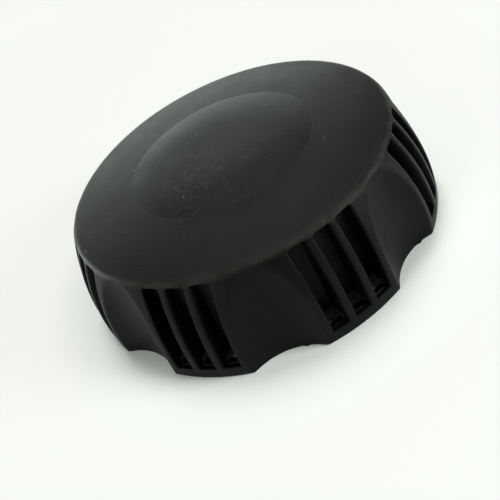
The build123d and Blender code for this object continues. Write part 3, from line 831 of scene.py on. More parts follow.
@dataclass
class GripShell:
    """Outer moulding: lobes, scallops, ribs and pockets outside; teeth, ribs and hollows inside.

    Sizes are in millimetres and angles in degrees.
    """

    lobes: int = 8
    flank_arc: float = 48.0
    crown_edge: float = 22.5        # height where flank and crown would meet, unrounded
    crown_edge_round: float = 2.2
    crown_arc: float = 300.0
    crown_climb: float = 1.65       # from that edge to the foot of the raised centre
    crown_wall: float = 2.2
    dome_radius: float = 21.4
    dome_rise: float = 1.3
    dome_slope: float = 12.0
    scallop_radius: float = 14.0
    scallop_depth: float = 2.9
    scallop_lean: float = 6.3
    scallop_blend: float = 0.3      # over which its border is softened
    pocket_width: float = 3.5
    pocket_flare: float = 0.12      # each side, from the rim to the top
    pocket_pitch: float = 5.3
    pocket_foot: float = 2.7
    pocket_top: float = 21.7
    pocket_back: float = 37.4
    pocket_draft: float = 0.3
    pocket_lean: float = 1.9        # of the pockets' backs, in under the crown
    lean_foot: float = 5.0
    lean_curve: float = 1.5         # 1 leans evenly, more leans mostly near the top
    wall_draft: float = 0.15
    mouth_round: float = 0.45
    top_round: float = 0.3
    corner_round: float = 0.5
    foot_round: float = 0.25
    rim_round: float = 0.3
    ledge: float = 1.9
    bar: float = 2.0
    bar_groove: Pair = (0.15, 0.1)  # half width and depth of the groove along a foot bar
    bar_swell: float = 0.03         # of its top behind the groove
    bar_edge: Pair = (0.2, 0.08)    # width and drop of its back edge
    ledge_dip: Pair = (0.3, 0.1)    # width and depth of the ledge's dip behind the bar
    first_level: float = 0.75       # height of the lowest level over the rounded rim
    bar_levels: float = 0.75        # over the pockets' feet, where the flank's levels of a bar end
    side_ends: Pair = (1.1, 1.0)    # from a pocket's foot and top to the levels of its sides
    level_steps: Pair = (0.45, 0.7)     # between levels, under the pockets and beside them
    lip_step: float = 0.05          # between the levels where a pocket's lip begins
    rib_columns: int = 3
    shoulder_columns: int = 27
    crown_rings: tuple[int, int] = (10, 16)     # outside the raised centre and on it
    crown_gaps: Pair = (0.7, 0.3)   # from the rounded edge and from the line to the nearest ring
    crown_least: float = 1.2        # radius of the innermost ring
    crown_every: int = 4            # of so many points round the skin, one goes on over the crown
    crown_edge_steps: int = 14
    bore: float = 35.0
    bead: Pair = (8.2, 9.0)
    bead_depth: float = 0.5
    bead_slopes: Pair = (0.3, 0.2)
    tooth_roots: float = 34.6
    tooth_tips: float = 33.3
    tooth_heights: Pair = (14.0, 16.6)
    tooth_points: int = 6
    teeth: int = 48
    steep_side: float = 0.8
    bore_round: float = 1.0
    thrust_rib: Pair = (28.0, 30.0)
    thrust_rib_foot: float = 16.9
    ceiling_radii: tuple[float, ...] = (24.0, 21.4, 18.0, 13.0, 8.0, 3.0)
    brace: Triple = (21.2, 1.4, 18.0)   # inner radius, width and foot of a radial rib
    brace_lap: float = 1.0          # by which it reaches into the thrust rib
    core_wall: float = 1.8
    core_depth: float = 11.0
    core_limits: Pair = (30.0, 60.0)    # radii that lie clear of the cores on both sides
    core_points: int = 288
    window_play: float = 0.03       # between a drain window and the walls of its pocket
    window_lap: float = 0.6         # by which its solid stands over the ledge
    flash: Triple = (252.5, 299.0, 331.0)       # where crumbs of flash stand on the rim
    crumb: Triple = (0.35, 0.4, 0.5)    # how far one stands out, its half width and its height
    extent: Extent = field(default_factory=lambda: Extent.of("grip_shell"))

    # -- the form of revolution --

    def flank(self, height: np.ndarray | float) -> np.ndarray:
        """Radius of the flank at a height."""
        return self.extent.radius - self.flank_arc + np.sqrt(self.flank_arc**2 - np.square(height))

    def crown_centre(self) -> Pair:
        """Finds the middle of the crown's arc, which runs from the flank to the raised centre.

        Returns:
            Radius and height of the middle.
        """
        edge = np.array([float(self.flank(self.crown_edge)), self.crown_edge])
        ring_line = np.array([self.dome_radius, self.crown_edge + self.crown_climb])
        chord = edge - ring_line
        half = np.hypot(*chord) / 2
        up = np.array([-chord[1], chord[0]]) / (2 * half)
        centre = (edge + ring_line) / 2 - up * math.sqrt(self.crown_arc**2 - half**2)
        return float(centre[0]), float(centre[1])

    def crown(self, radius: float) -> float:
        """Height of the crown, with its raised centre.

        Args:
            radius: Distance from the axis.

        Returns:
            The height there.
        """
        if radius >= self.dome_radius:
            r, z = self.crown_centre()
            return z + math.sqrt(self.crown_arc**2 - (radius - r) ** 2)
        # A cubic, which starts with the slope at the foot of the raised centre and ends level.
        t = 1 - radius / self.dome_radius
        climb = math.tan(math.radians(self.dome_slope)) * self.dome_radius
        rise = climb * (t**3 - 2 * t**2 + t) + self.dome_rise * (3 * t**2 - 2 * t**3)
        return self.crown_edge + self.crown_climb + rise

    def edge_centre(self) -> np.ndarray:
        """Finds the middle of the round between flank and crown, inside both of their arcs.

        Returns:
            Radius and height of the middle.
        """
        flank = np.array([self.extent.radius - self.flank_arc, 0.0])
        crown = np.array(self.crown_centre())
        near, far = self.flank_arc - self.crown_edge_round, self.crown_arc - self.crown_edge_round
        gap = np.hypot(*(crown - flank))
        along = (near**2 - far**2 + gap**2) / (2 * gap)
        across = math.sqrt(near**2 - along**2)
        unit = (crown - flank) / gap
        normal = np.array([-unit[1], unit[0]])
        return max((flank + unit * along + side * normal * across for side in (1, -1)), key=lambda p: p[1])

    def form(self, height: np.ndarray) -> np.ndarray:
        """Radius of the flank, or of the rounded edge above it.

        Args:
            height: Heights of the points.

        Returns:
            The radius at each of them.
        """
        meet = self.edge_centre()
        rise = np.clip(height - meet[1], 0, self.crown_edge_round)
        rounded = meet[0] + np.sqrt(self.crown_edge_round**2 - rise**2)
        return np.where(height > self.edge_round(1)[0][1], rounded, self.flank(height))

    def edge_round(self, steps: int) -> list[Pair]:
        """Points (radius, height) of the rounded edge between flank and crown.

        Args:
            steps: How many parts the round has.

        Returns:
            The points, from the flank to the crown.
        """
        meet = self.edge_centre()
        start = math.atan2(*(meet - [self.extent.radius - self.flank_arc, 0.0])[::-1])
        end = math.atan2(*(meet - self.crown_centre())[::-1])
        turns, r = np.linspace(start, end, steps + 1), self.crown_edge_round
        return [(float(meet[0] + r * math.cos(t)), float(meet[1] + r * math.sin(t))) for t in turns]

    def lean_in(self, height: np.ndarray) -> np.ndarray:
        """How far the backs of the pockets lean in under the crown at a height."""
        climb = np.clip((height - self.lean_foot) / (self.pocket_top - self.lean_foot), 0, 1)
        return self.pocket_lean * climb**self.lean_curve

    # -- the skin between the lobes --

    def skin(self, turns: np.ndarray, radius: np.ndarray, height: np.ndarray) -> np.ndarray:
        """Radius of the outer skin, where the scallops are blended into a round form.

        Args:
            turns: Angles from the middle of a lobe, in radians.
            radius: Radius of the round form there.
            height: Height of each point.

        Returns:
            The radius at each point.
        """
        lean = math.radians(self.scallop_lean)
        centre = self.extent.radius + self.scallop_radius - self.scallop_depth - height * math.tan(lean)
        long, short = self.scallop_radius / math.cos(lean), self.scallop_radius
        off = math.pi / self.lobes - np.abs(turns)
        a = (np.cos(off) / long) ** 2 + (np.sin(off) / short) ** 2
        b = np.cos(off) * centre / long**2
        root = b**2 - a * ((centre / long) ** 2 - 1)
        near = np.where(root > 0, (b - np.sqrt(np.maximum(root, 0))) / a, 2 * self.extent.radius)
        # The lower of both faces, rounded off where they meet.
        overlap = np.maximum(self.scallop_blend - np.abs(near - radius), 0) / self.scallop_blend
        return np.minimum(near, radius) - overlap**2 * self.scallop_blend / 4

    def columns(self) -> list[Column]:
        """Sets out half a lobe, from its middle to the middle of the scallop beside it.

        Returns:
            The columns.
        """
        half = self.pocket_width / 2

        def mouth(centre: float, side: int) -> list[Column]:
            """Columns over the rounded mouth of a pocket.

            Args:
                centre: Middle of the pocket, across the lobe.
                side: 1 or -1, for the side of the pocket.

            Returns:
                The columns, from the pocket's wall to the rib.
            """
            r = self.mouth_round
            return [
                Column(centre, side, offset=side * r * (1 - math.sin(a)), mouth=r * (1 - math.cos(a)),
                       hold=1 - math.cos(a))
                for a in QUARTER[::-1]
            ]

        def back(centre: float, reaches: Sequence[float]) -> list[Column]:
            """Columns over the back wall of a pocket."""
            return [Column(centre, k, -self.wall_draft * k, depth=1, mouth=self.mouth_round, hold=1)
                    for k in reaches]

        def wall(centre: float, side: int) -> list[Column]:
            """Column half way up the side wall of a pocket."""
            draft = -self.wall_draft * side / 2
            return [Column(centre, side, draft, depth=0.5, mouth=self.mouth_round, hold=1)]

        pitch = self.pocket_pitch
        rib_start, rib_end = half + self.mouth_round, pitch - half - self.mouth_round
        steps = self.rib_columns + 1
        rib = [Column(offset=rib_start + (rib_end - rib_start) * k / steps) for k in range(1, steps)]
        shoulder = [Column(share=(k + 1) / self.shoulder_columns) for k in range(self.shoulder_columns)]
        return [
            *back(0, (0, 0.5, 1)), *wall(0, 1), *mouth(0, 1), *rib,
            *mouth(pitch, -1)[::-1], *wall(pitch, -1), *back(pitch, (-1, -0.5, 0, 0.5, 1)), *wall(pitch, 1),
            *mouth(pitch, 1), *shoulder,
        ]

    def rows(self) -> list[Row]:
        """Levels of the skin, from the rim to the edge of the crown."""
        return [*self.foot_rows(), *self.top_rows()]

    def foot_rows(self) -> list[Row]:
        """Levels from the rim to the feet of the pockets, with the foot bars and the ledges.

        Returns:
            The levels, from the lowest up.
        """
        r = self.rim_round
        rim = [Row(r * (1 - math.cos(a)), r * (1 - math.cos(a)), 0, r * (1 - math.sin(a))) for a in QUARTER]
        foot, r, step = self.pocket_foot, self.foot_round, self.level_steps[0]
        low = [Row(z, z, 0) for z in np.arange(self.first_level, foot - step, step)]
        middle, (half, depth), swell = self.bar / 2, self.bar_groove, self.bar_swell
        (edge, drop), (width, dip) = self.bar_edge, self.ledge_dip
        # Heights across a foot bar and its ledge, each with its depth behind the skin: rounded front,
        # groove, low swell, back edge, and the ledge that sinks a little before it meets the back.
        across = [
            *((foot - r + r * math.sin(a), r * (1 - math.cos(a))) for a in QUARTER),
            (foot, middle - half),
            (foot - depth, middle),
            (foot - depth, middle + half),
            (foot + swell, middle + 2 * half),
            (foot + swell, self.bar - edge),
            (foot - drop, self.bar),
            (foot - dip, self.bar + width),
            (foot, math.inf),
        ]
        on_flank = np.linspace(foot - r, foot + self.bar_levels, len(across))
        return [*rim, *low, *(Row(float(z), height, limit) for z, (height, limit) in zip(on_flank, across))]

    def top_rows(self) -> list[Row]:
        """Levels from the feet of the pockets over their rounded tops to the edge of the crown.

        Returns:
            The levels, from the lowest up.
        """
        foot, top, c, t = self.pocket_foot, self.pocket_top, self.corner_round, self.top_round
        start, end = foot + self.side_ends[0], top - self.side_ends[1]
        sides = [Row(float(z), float(z)) for z in np.arange(start, end, self.level_steps[1])]
        # How far under the pockets' top each level of the corners lies, on the flank and in a pocket.
        drops = ((0.8, 0.8), (0.6, c), (0.45, 0.6 * c), (0.3, 0.3 * c), (0.2, 0.1 * c), (0.1, 0.0))
        corner = [Row(top - outside, top - within) for outside, within in drops]
        step = self.lip_step
        lip = [
            Row(top - step + t * (k + 1) / len(QUARTER), top + t * (1 - math.cos(a)), t * (1 - math.sin(a)))
            for k, a in enumerate(QUARTER)
        ]
        above = top + t + step
        edge = [Row(z, z, 0, 0, r) for r, z in self.edge_round(self.crown_edge_steps) if z > above]
        return [*sides, *corner, *lip, *edge]

    def level(self, row: Row, columns: Sequence[Column]) -> np.ndarray:
        """Sets out the points of one level round the whole cap.

        Args:
            row: The level.
            columns: The columns of half a lobe.

        Returns:
            Array of points.
        """
        def per(key: str) -> np.ndarray:
            """One value of every column."""
            return np.array([getattr(column, key) for column in columns])

        z = row.flank + per("hold") * (row.pocket - row.flank)
        rise = np.clip(z - (self.pocket_top - self.corner_round), 0, self.corner_round)
        narrowing = self.corner_round - np.sqrt(self.corner_round**2 - rise**2)
        widening = self.pocket_flare * z / self.pocket_top
        half_width = self.pocket_width / 2 + widening - narrowing
        y = per("centre") + per("reach") * half_width + per("offset")
        round_form = self.form(z) if row.radius is None else np.full_like(z, row.radius)
        last = self.pocket_pitch + self.pocket_width / 2 + self.mouth_round
        start = np.arcsin(last / round_form)
        turn_end = math.pi / self.lobes
        share = per("share")
        turns = np.where(share > 0, start + share * (turn_end - start), np.arcsin(y / round_form))
        skin = self.skin(turns, round_form, z) - row.inset
        x, y = skin * np.cos(turns), skin * np.sin(turns)
        back = self.pocket_back + self.pocket_draft * (1 - z / self.pocket_top) - self.lean_in(z)
        full = x - np.sqrt(np.maximum(back**2 - y**2, 0))
        deep = per("depth") * (full - self.mouth_round) + per("mouth")
        x = x - np.clip(deep, 0, row.limit)
        half = np.stack([x, y, z], axis=1)
        sector = np.concatenate([half[:0:-1] * [1, -1, 1], half[:-1]])
        whole = []
        for turn in full_turn(self.lobes):
            cos, sin = math.cos(turn), math.sin(turn)
            whole.append(sector @ np.array([[cos, sin, 0], [-sin, cos, 0], [0, 0, 1]]))
        return self.flashed(np.concatenate(whole))

    def flashed(self, points: np.ndarray) -> np.ndarray:
        """Pushes points out where crumbs of flash stand on the rim.

        Args:
            points: Array of points.

        Returns:
            The array with the crumbs.
        """
        out, half, tall = self.crumb
        turns = np.arctan2(points[:, 1], points[:, 0])
        radius = np.hypot(points[:, 0], points[:, 1])
        push = np.zeros(len(points))
        for angle in self.flash:
            off = (turns - math.radians(angle) + math.pi) % (2 * math.pi) - math.pi
            push += out * np.exp(-((off * radius / half) ** 2) - (points[:, 2] / tall) ** 2)
        grown = 1 + push / radius
        return points * np.stack([grown, grown, np.ones_like(grown)], axis=1)

    def outside(self) -> Object:
        """Builds the solid under the outer skin.

        Returns:
            The solid.
        """
        columns = self.columns()
        rings = [self.level(row, columns) for row in self.rows()]
        turns = np.arctan2(rings[-1][:, 1], rings[-1][:, 0])[::self.crown_every]
        edge, dome, (on_crown, on_dome) = self.edge_round(1)[-1][0], self.dome_radius, self.crown_rings
        from_edge, from_line = self.crown_gaps
        radii = [
            *np.linspace(edge - from_edge, dome + from_line, on_crown),
            dome,
            *np.linspace(dome - from_line, self.crown_least, on_dome),
        ]
        rings += [ring(r, self.crown(r), turns) for r in radii]
        return loft("grip_shell_moulding", [np.zeros((1, 3)), *rings, np.array([[0, 0, self.crown(0.0)]])])

    # -- the inside --

    def under_crown(self, radius: float) -> Pair:
        """Point (radius, height) of the inner face of the crown."""
        return radius, self.crown(radius) - self.crown_wall

    def inside(self) -> Object:
        """Builds the solid of the hollow under the crown, without the teeth, the bead and the ribs.

        Returns:
            The solid.
        """
        pitch = 360 / self.teeth
        ramp_angles = np.linspace(self.steep_side, pitch, self.tooth_points)[:-1]
        starts = np.radians(np.arange(self.teeth) * pitch)
        turns = (starts[:, None] + np.radians([0, *ramp_angles])[None, :]).ravel()
        share = np.tile([0, *np.linspace(1, 0, self.tooth_points)[:-1]], self.teeth)
        saw = self.tooth_tips + share * (self.tooth_roots - self.tooth_tips)
        (low, high), (rise, fall) = self.bead, self.bead_slopes
        (foot, top), (inner, outer) = self.tooth_heights, self.thrust_rib
        bore, bead, r = self.bore, self.bore - self.bead_depth, self.bore_round
        corner = self.under_crown(bore - r)[1] - r
        outline = [
            (bore, BELOW), (bore, low), (bead, low + rise), (bead, high - fall), (bore, high),
            (bore, foot), (saw, foot), (saw, top), (bore, top), (bore, corner),
            *((bore - r * (1 - math.cos(a)), corner + r * math.sin(a)) for a in QUARTER[1:]),
            self.under_crown(outer), (outer, self.thrust_rib_foot),
            (inner, self.thrust_rib_foot), self.under_crown(inner),
            *(self.under_crown(radius) for radius in self.ceiling_radii),
        ]
        start, end = np.array([[0, 0, BELOW]]), np.array([[0, 0, self.under_crown(0.0)[1]]])
        hollow = loft("hollow", [start, *(ring(radius, z, turns) for radius, z in outline), end])
        near, width, brace_foot = self.brace
        brace = block(
            "brace", (near, -width / 2, brace_foot), (inner + self.brace_lap, width / 2, self.extent.top))
        return joined(hollow, repeated(brace, around(self.lobes)), Joinery.CUT)

    def cores(self) -> Object:
        """Builds the solids of the hollows behind the scallops, open at the rim.

        Returns:
            The solids, in one object.
        """
        near, far = self.pocket_back + self.pocket_draft, self.extent.radius - self.core_wall
        outline = [(near, BELOW), (far, BELOW), (far, self.core_depth), (near, self.core_depth)]
        cores = turned("cores", outline, self.core_points)
        lean = math.radians(self.scallop_lean)
        centre = self.extent.radius + self.scallop_radius - self.scallop_depth
        radius, tall = self.scallop_radius + self.core_wall, 2 * self.core_depth
        bar = turned("bar", [(0, -tall), (radius, -tall), (radius, tall), (0, tall)])
        place = Matrix.Translation((centre * MM, 0, 0)) @ Matrix.Rotation(-lean, 4, "Y")
        places = [turn @ place for turn in around(self.lobes, math.pi / self.lobes)]
        cores = joined(cores, repeated(bar, places), Joinery.CUT)
        half = self.pocket_pitch + self.pocket_width / 2 + self.core_wall
        within, beyond = self.core_limits
        lobe = block("lobe", (within, -half, -tall), (beyond, half, tall))
        return joined(cores, repeated(lobe, around(self.lobes)), Joinery.CUT)

    def windows(self) -> Object:
        """Builds the solids of the drain windows in the floors of the pockets.

        Returns:
            The solids, in one object.
        """
        near = self.pocket_back + self.pocket_draft + self.ledge
        far = self.extent.radius - self.bar
        half = self.pocket_width / 2 - self.wall_draft - self.window_play
        hole = block("hole", (near, -half, BELOW), (far, half, self.pocket_foot + self.window_lap))
        shifts = [Matrix.Translation((0, k * self.pocket_pitch * MM, 0)) for k in (-1, 0, 1)]
        return repeated(hole, [turn @ shift for turn in around(self.lobes) for shift in shifts])

    def build(self, finish: bpy.types.Material) -> Object:
        """Builds the shell and puts it in the place of its node.

        Args:
            finish: Material of the shell.

        Returns:
            The shell.
        """
        shell = self.outside()
        for tool in (self.inside(), self.cores(), self.windows()):
            shell = joined(shell, tool, Joinery.CUT)
        return placed(shell, finish, Body.SHELL, "grip_shell")


# ---- pieces behind the shell ----

def dressed(finish: bpy.types.Material, *nodes: str) -> None:
    """Gives nodes of the frame their finish.

    Args:
        finish: The material.
        nodes: Names of the nodes.
    """
    for name in nodes:
        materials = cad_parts[name].data.materials
        materials.clear()
        materials.append(finish)
        LOG.info("%s keeps its form and gets %s", name, finish.name)


@dataclass
class Ratchet:
    """Ring with four sprung pawls, its washer and the ring that holds the shell on."""

    def build(self, finishes: dict[str, bpy.types.Material]) -> None:
        """Dresses the pieces.

        Args:
            finishes: The materials by name.
        """
        dressed(finishes["ratchet"], "torque_ring")
        dressed(finishes["washer"], "thrust_washer")
        dressed(finishes["ring"], "retaining_ring")


@dataclass
class ThreadedClosure:
    """Cup with the thread for the filler neck, a flange, a seal groove and keys, and its gasket.

    Sizes are in millimetres.
    """

    thread_root: float = 30.2
    thread_height: float = 1.4
    thread_pitch: float = 4.0
    thread_foot: float = 2.6        # middle of the ridge where it starts
    thread_turns: float = 1.35
    ridge_foot_width: float = 2.3
    ridge_crest_width: float = 1.0
    run_out: float = 0.08           # turns over which each end of the ridge fades
    least_share: float = 0.05       # of the ridge's height, left at its ends
    lap: float = 0.3                # by which the ridge reaches into the wall
    steps_a_turn: int = 120
    cup_points: int = 240
    wall: float = 2.2
    foot: float = 1.2
    shoulder: Pair = (29.7, 9.6)    # radius and height
    plate: Pair = (11.6, 13.6)      # heights of its faces
    hole: float = 18.8
    groove: Triple = (19.8, 21.4, 12.5)     # inner and outer radius, and floor
    key: Triple = (24.0, 26.8, 5.6)     # inner and outer radius, and width
    keys: int = 4
    key_lap: float = 1.0            # by which a key reaches into the plate
    edge_break: float = 0.3
    extent: Extent = field(default_factory=lambda: Extent.of("inner_closure"))

    def cup(self) -> Object:
        """Builds cup, flange and groove in one outline, with broken edges where a hand meets them.

        Returns:
            The cup.
        """
        b, outer, wall = self.edge_break, self.extent.radius, self.thread_root + self.wall
        low, high = self.plate
        near, far, floor = self.groove
        return turned("threaded_closure", (
            (self.thread_root, self.foot + b), (self.thread_root + b, self.foot), (wall - b, self.foot),
            (wall, self.foot + b), (wall, low), (outer - b, low), (outer, low + b), (outer, high - b),
            (outer - b, high), (far, high), (far, floor), (near, floor), (near, high), (self.hole, high),
            (self.hole, low), (self.shoulder[0], low), self.shoulder, (self.thread_root, self.shoulder[1]),
        ), self.cup_points)

    def ridge(self) -> Object:
        """Builds the helical ridge of the thread, which fades out at both ends.

        Returns:
            The ridge.
        """
        steps = round(self.thread_turns * self.steps_a_turn)
        root, rings = self.thread_root + self.lap, []
        for k in range(steps + 1):
            turn = k / self.steps_a_turn
            fade = min(1.0, turn / self.run_out, (self.thread_turns - turn) / self.run_out)
            z = self.thread_foot + turn * self.thread_pitch
            crest = root - (self.lap + self.thread_height) * max(fade, self.least_share)
            wide, narrow = self.ridge_foot_width / 2, self.ridge_crest_width / 2
            section = ((root, z - wide), (crest, z - narrow), (crest, z + narrow), (root, z + wide))
            cos, sin = math.cos(2 * math.pi * turn), math.sin(2 * math.pi * turn)
            rings.append(np.array([(r * cos, r * sin, h) for r, h in section]))
        return capped("ridge", rings)

    def build(self, finishes: dict[str, bpy.types.Material]) -> None:
        """Builds the closure in the place of its node, and dresses the gasket.

        Args:
            finishes: The materials by name.
        """
        closure = joined(self.cup(), self.ridge(), Joinery.ADD)
        near, far, width = self.key
        foot = self.plate[1] - self.key_lap
        key = block("key", (near, -width / 2, foot), (far, width / 2, self.extent.top))
        closure = joined(closure, repeated(key, around(self.keys, math.pi / self.keys)), Joinery.ADD)
        placed(closure, finishes["closure"], Body.CLOSURE, "inner_closure")
        dressed(finishes["gasket"], "neck_gasket")


@dataclass
class ConicalSpring:
    """Coil of round wire whose turns get smaller towards the top. Sizes are in millimetres."""

    name: str
    node: str
    body: Body
    foot_radius: float
    head_radius: float
    wire: float
    joint: str                  # the joint that presses it together
    travel: float               # of that joint
    fixed_end: float            # height of the end that stays
    turns: float = 2.0
    steps_a_turn: int = 64
    sides: int = 12

    def build(self, finish: bpy.types.Material) -> None:
        """Builds the spring in the place of its node.

        Args:
            finish: Material of the wire.
        """
        extent = Extent.of(self.node)
        steps = round(self.turns * self.steps_a_turn)
        rise = extent.top - extent.foot - self.wire
        around_wire = full_turn(self.sides)
        rings = []
        for k in range(steps + 1):
            share = k / steps
            turn = 2 * math.pi * self.turns * share
            radius = self.foot_radius + (self.head_radius - self.foot_radius) * share
            across = radius + self.wire / 2 * np.cos(around_wire)
            height = extent.foot + self.wire / 2 + rise * share + self.wire / 2 * np.sin(around_wire)
            rings.append(np.stack([across * math.cos(turn), across * math.sin(turn), height], axis=1))
        coil = placed(capped(self.name, rings), finish, self.body, self.node)
        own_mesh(coil)


@dataclass
class FlameScreen:
    """Disc of woven wire held in a rolled rim. Sizes are in millimetres."""

    pitch: float = 1.0          # between wires, drawn coarser than real gauze so that it shows
    wire: float = 0.18
    rim_width: float = 0.7
    rim_points: int = 96
    sides: int = 6
    steps_a_pitch: int = 4

    def wires(self, extent: Extent, along: int) -> list[Object]:
        """Wires one way across the disc, each going over and under the ones that cross it.

        Args:
            extent: Extent of the disc.
            along: 0 for wires along X, 1 for wires along Y.

        Returns:
            The wires.
        """
        reach = extent.radius - self.rim_width / 2
        middle = (extent.foot + extent.top) / 2
        made = []
        count = int(reach / self.pitch)
        ring_turns = full_turn(self.sides)
        for k in range(-count, count + 1):
            off = k * self.pitch
            half = math.sqrt(reach**2 - off**2)
            steps = max(2, round(2 * half / self.pitch * self.steps_a_pitch))
            phase = math.pi * ((k + along) % 2)
            rings = []
            for x in np.linspace(-half, half, steps + 1):
                z = middle + self.wire / 2 * math.cos(math.pi * x / self.pitch + phase)
                side = off + self.wire / 2 * np.cos(ring_turns)
                lift = z + self.wire / 2 * np.sin(ring_turns)
                run = np.full(self.sides, x)
                rings.append(np.stack([run, side, lift] if along == 0 else [side, run, lift], axis=1))
            made.append(capped("wire", rings))
        return made

    def build(self, finish: bpy.types.Material) -> None:
        """Builds the screen in the place of its node.

        Args:
            finish: Material of the wire.
        """
        extent = Extent.of("flame_screen")
        inner, outer = extent.radius - self.rim_width, extent.radius
        foot, top = extent.foot, extent.top
        outline = [(inner, foot), (outer, foot), (outer, top), (inner, top)]
        rim = turned("gauze_disc", outline, self.rim_points)
        edit = bmesh.new()
        edit.from_mesh(rim.data)
        for wire in (*self.wires(extent, 0), *self.wires(extent, 1)):
            edit.from_mesh(wire.data)
            bpy.data.objects.remove(wire)
        edit.to_mesh(rim.data)
        edit.free()
        placed(rim, finish, Body.CLOSURE, "flame_screen")


@dataclass
class VentUnit:
    """Housing welded into the closure, with its guard, screen, filter and cover, and both valves."""

    pressure_coil: ConicalSpring = field(default_factory=lambda: ConicalSpring(
        "pressure_coil", "pressure_spring", Body.CLOSURE, foot_radius=12.6, head_radius=11.0, wire=0.8,
        joint="pressure_valve_lift", travel=1.2, fixed_end=17.97))
    vacuum_coil: ConicalSpring = field(default_factory=lambda: ConicalSpring(
        "vacuum_coil", "vacuum_spring", Body.PRESSURE_VALVE, foot_radius=2.2, head_radius=1.6, wire=0.3,
        joint="vacuum_valve_drop", travel=1.0, fixed_end=15.03))

    def build(self, finishes: dict[str, bpy.types.Material]) -> None:
        """Builds and dresses the pieces.

        Args:
            finishes: The materials by name.
        """
        dressed(finishes["housing"], "valve_housing", "splash_guard", "spring_retainer", "filter_cover")
        dressed(finishes["gasket"], "housing_seal")
        dressed(finishes["foam"], "vent_filter")
        dressed(finishes["brass"], "pressure_plate", "vacuum_poppet")
        dressed(finishes["valve_rubber"], "pressure_seal", "vacuum_seal")
        dressed(finishes["spring"], "poppet_clip")
        FlameScreen().build(finishes["screen"])
        self.pressure_coil.build(finishes["spring"])
        self.vacuum_coil.build(finishes["spring"])


# ---- camera and studio ----

@dataclass(frozen=True)
class Viewpoint:
    """Camera that looks down on the cap from the front, rolled. Sizes are in millimetres."""

    place: Triple = (-29.29, -111.36, 90.84)
    aim: Triple = (-8.90, -19.54, 12.0)
    roll: float = 28.42         # degrees
    sensor: float = 36.0
    lens: float = 42.73

    def build(self) -> Object:
        """Makes the camera and gives it to the scene.

        Returns:
            The camera object.
        """
        data = bpy.data.cameras.new("viewpoint")
        data.sensor_width = self.sensor
        data.lens = self.lens
        data.clip_start = MM
        camera = bpy.data.objects.new("viewpoint", data)
        bpy.context.scene.collection.objects.link(camera)
        place = Vector(self.place) * MM
        turn = (Vector(self.aim) * MM - place).to_track_quat("-Z", "Y").to_matrix().to_4x4()
        roll = Matrix.Rotation(math.radians(-self.roll), 4, "Z")
        camera.matrix_world = Matrix.Translation(place) @ turn @ roll
        bpy.context.scene.camera = camera
        return camera


@dataclass(frozen=True)
class Softbox:
    """Oblong soft lamp that looks at the cap. Sizes are in millimetres and angles in degrees."""

    name: str
    azimuth: float
    elevation: float
    distance: float
    width: float
    height: float
    level: float        # how bright its face is, where 1 is white
    colour: str = "#ffffff"

    def build(self) -> Object:
        """Makes the lamp.

        Returns:
            The lamp object.
        """
        data = bpy.data.lights.new(self.name, "AREA")
        data.shape = "RECTANGLE"
        data.size, data.size_y = self.width * MM, self.height * MM
        data.color = linear(self.colour)[:3]
        data.energy = self.level * math.pi * data.size * data.size_y
        lamp = bpy.data.objects.new(self.name, data)
        bpy.context.scene.collection.objects.link(lamp)
        turn, rise = math.radians(self.azimuth), math.radians(self.elevation)
        towards = Vector((math.cos(turn) * math.cos(rise), math.sin(turn) * math.cos(rise), math.sin(rise)))
        place = Matrix.Translation(towards * self.distance * MM)
        lamp.matrix_world = place @ (-towards).to_track_quat("-Z", "Y").to_matrix().to_4x4()
        return lamp


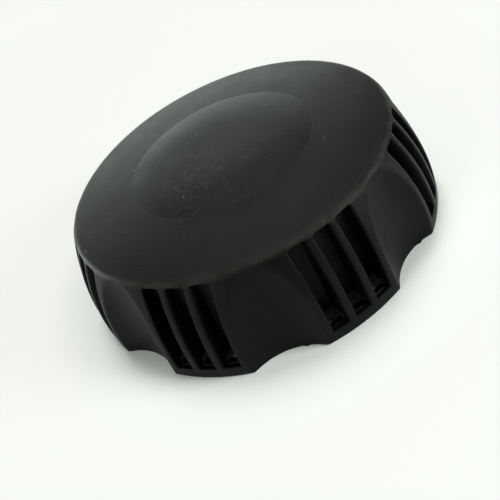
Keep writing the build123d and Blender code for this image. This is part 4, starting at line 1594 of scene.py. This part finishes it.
@dataclass(frozen=True)
class Studio:
    """Pale floor, a pale room and soft lamps. Sizes are in millimetres."""

    floor_size: float = 4000.0
    paper_colour: str = "#f6f8f4"
    paper_roughness: float = 0.9
    near_shares: Pair = (0.0, 0.75)     # of plain white that the camera sees in place of lit paper
    near_span: Pair = (43.0, 58.0)      # distances from the axis over which that share grows
    far_span: Pair = (110.0, 350.0)     # and over which it becomes the whole
    room_level: float = 0.1
    lamps: tuple[Softbox, ...] = (      # name, azimuth, elevation, distance, width, height, level
        Softbox("overhead", 66, 66, 1200, 480, 480, 9.6),
        Softbox("back_strip", 80, 8, 650, 720, 120, 6.0, "#f4fff6"),
        Softbox("back_left", 132, 4, 600, 240, 100, 20.0, "#f4fff6"),
        Softbox("left", 200, 20, 560, 200, 200, 11.0, "#f8fffa"),
        Softbox("right", 318, 24, 560, 220, 200, 22.0, "#f8fffa"),
    )

    def build(self) -> None:
        """Makes the floor, the world and the lamps."""
        half = self.floor_size / 2 * MM
        mesh = bpy.data.meshes.new("floor")
        corners = [(-half, -half, 0), (half, -half, 0), (half, half, 0), (-half, half, 0)]
        mesh.from_pydata(corners, [], [(0, 1, 2, 3)])
        floor = bpy.data.objects.new("floor", mesh)
        bpy.context.scene.collection.objects.link(floor)
        floor.data.materials.append(self.paper())
        world = bpy.data.worlds.new("room")
        bpy.context.scene.world = world
        world.use_nodes = True
        tree = world.node_tree
        background = tree.nodes["Background"]
        background.inputs["Color"].default_value = linear(self.paper_colour)
        ray = add_node(tree, "LightPath")["Is Camera Ray"]
        tree.links.new(limited(tree, (ray, RISING, (self.room_level, 1.0))), background.inputs["Strength"])
        for lamp in self.lamps:
            lamp.build()

    def paper(self) -> bpy.types.Material:
        """Makes matt white paper, whose shadow the camera sees close to the cap and less further off.

        Returns:
            The material of the floor.
        """
        paper = bpy.data.materials.new("uncoated_white_paper")
        paper.use_nodes = True
        tree = paper.node_tree
        shader = tree.nodes["Principled BSDF"]
        shader.inputs["Roughness"].default_value = self.paper_roughness
        shader.inputs["Specular IOR Level"].default_value = 0.0
        shader.inputs["Emission Color"].default_value = linear(self.paper_colour)
        away = from_axis(tree, add_node(tree, "TexCoord")["Object"])
        near = limited(tree, (away, metres(*self.near_span), self.near_shares))
        far = limited(tree, (away, metres(*self.far_span), RISING))
        share = add_node(tree, "Math", {0: near, 1: far}, operation="MAXIMUM")[0]
        ray = add_node(tree, "LightPath")["Is Camera Ray"]
        bare = add_node(tree, "Math", {0: ray, 1: share}, operation="MULTIPLY")[0]
        colour = layered(tree, linear(self.paper_colour), (bare, linear("#000000")))
        tree.links.new(colour, shader.inputs["Base Color"])
        tree.links.new(bare, shader.inputs["Emission Strength"])
        return paper


# ---- the cap ----

def main() -> None:
    """Builds the camera, the studio and the pieces in order."""
    logging.basicConfig(level=logging.INFO, format="%(message)s")
    bpy.context.scene.view_settings.view_transform = "Standard"
    Viewpoint().build()
    Studio().build()
    plan = FinishSet()
    finishes = {kind.name: getattr(plan, kind.name).build() for kind in fields(plan)}
    GripShell().build(finishes["shell"])
    Ratchet().build(finishes)
    ThreadedClosure().build(finishes)
    VentUnit().build(finishes)


if __name__ == "__main__":
    main()
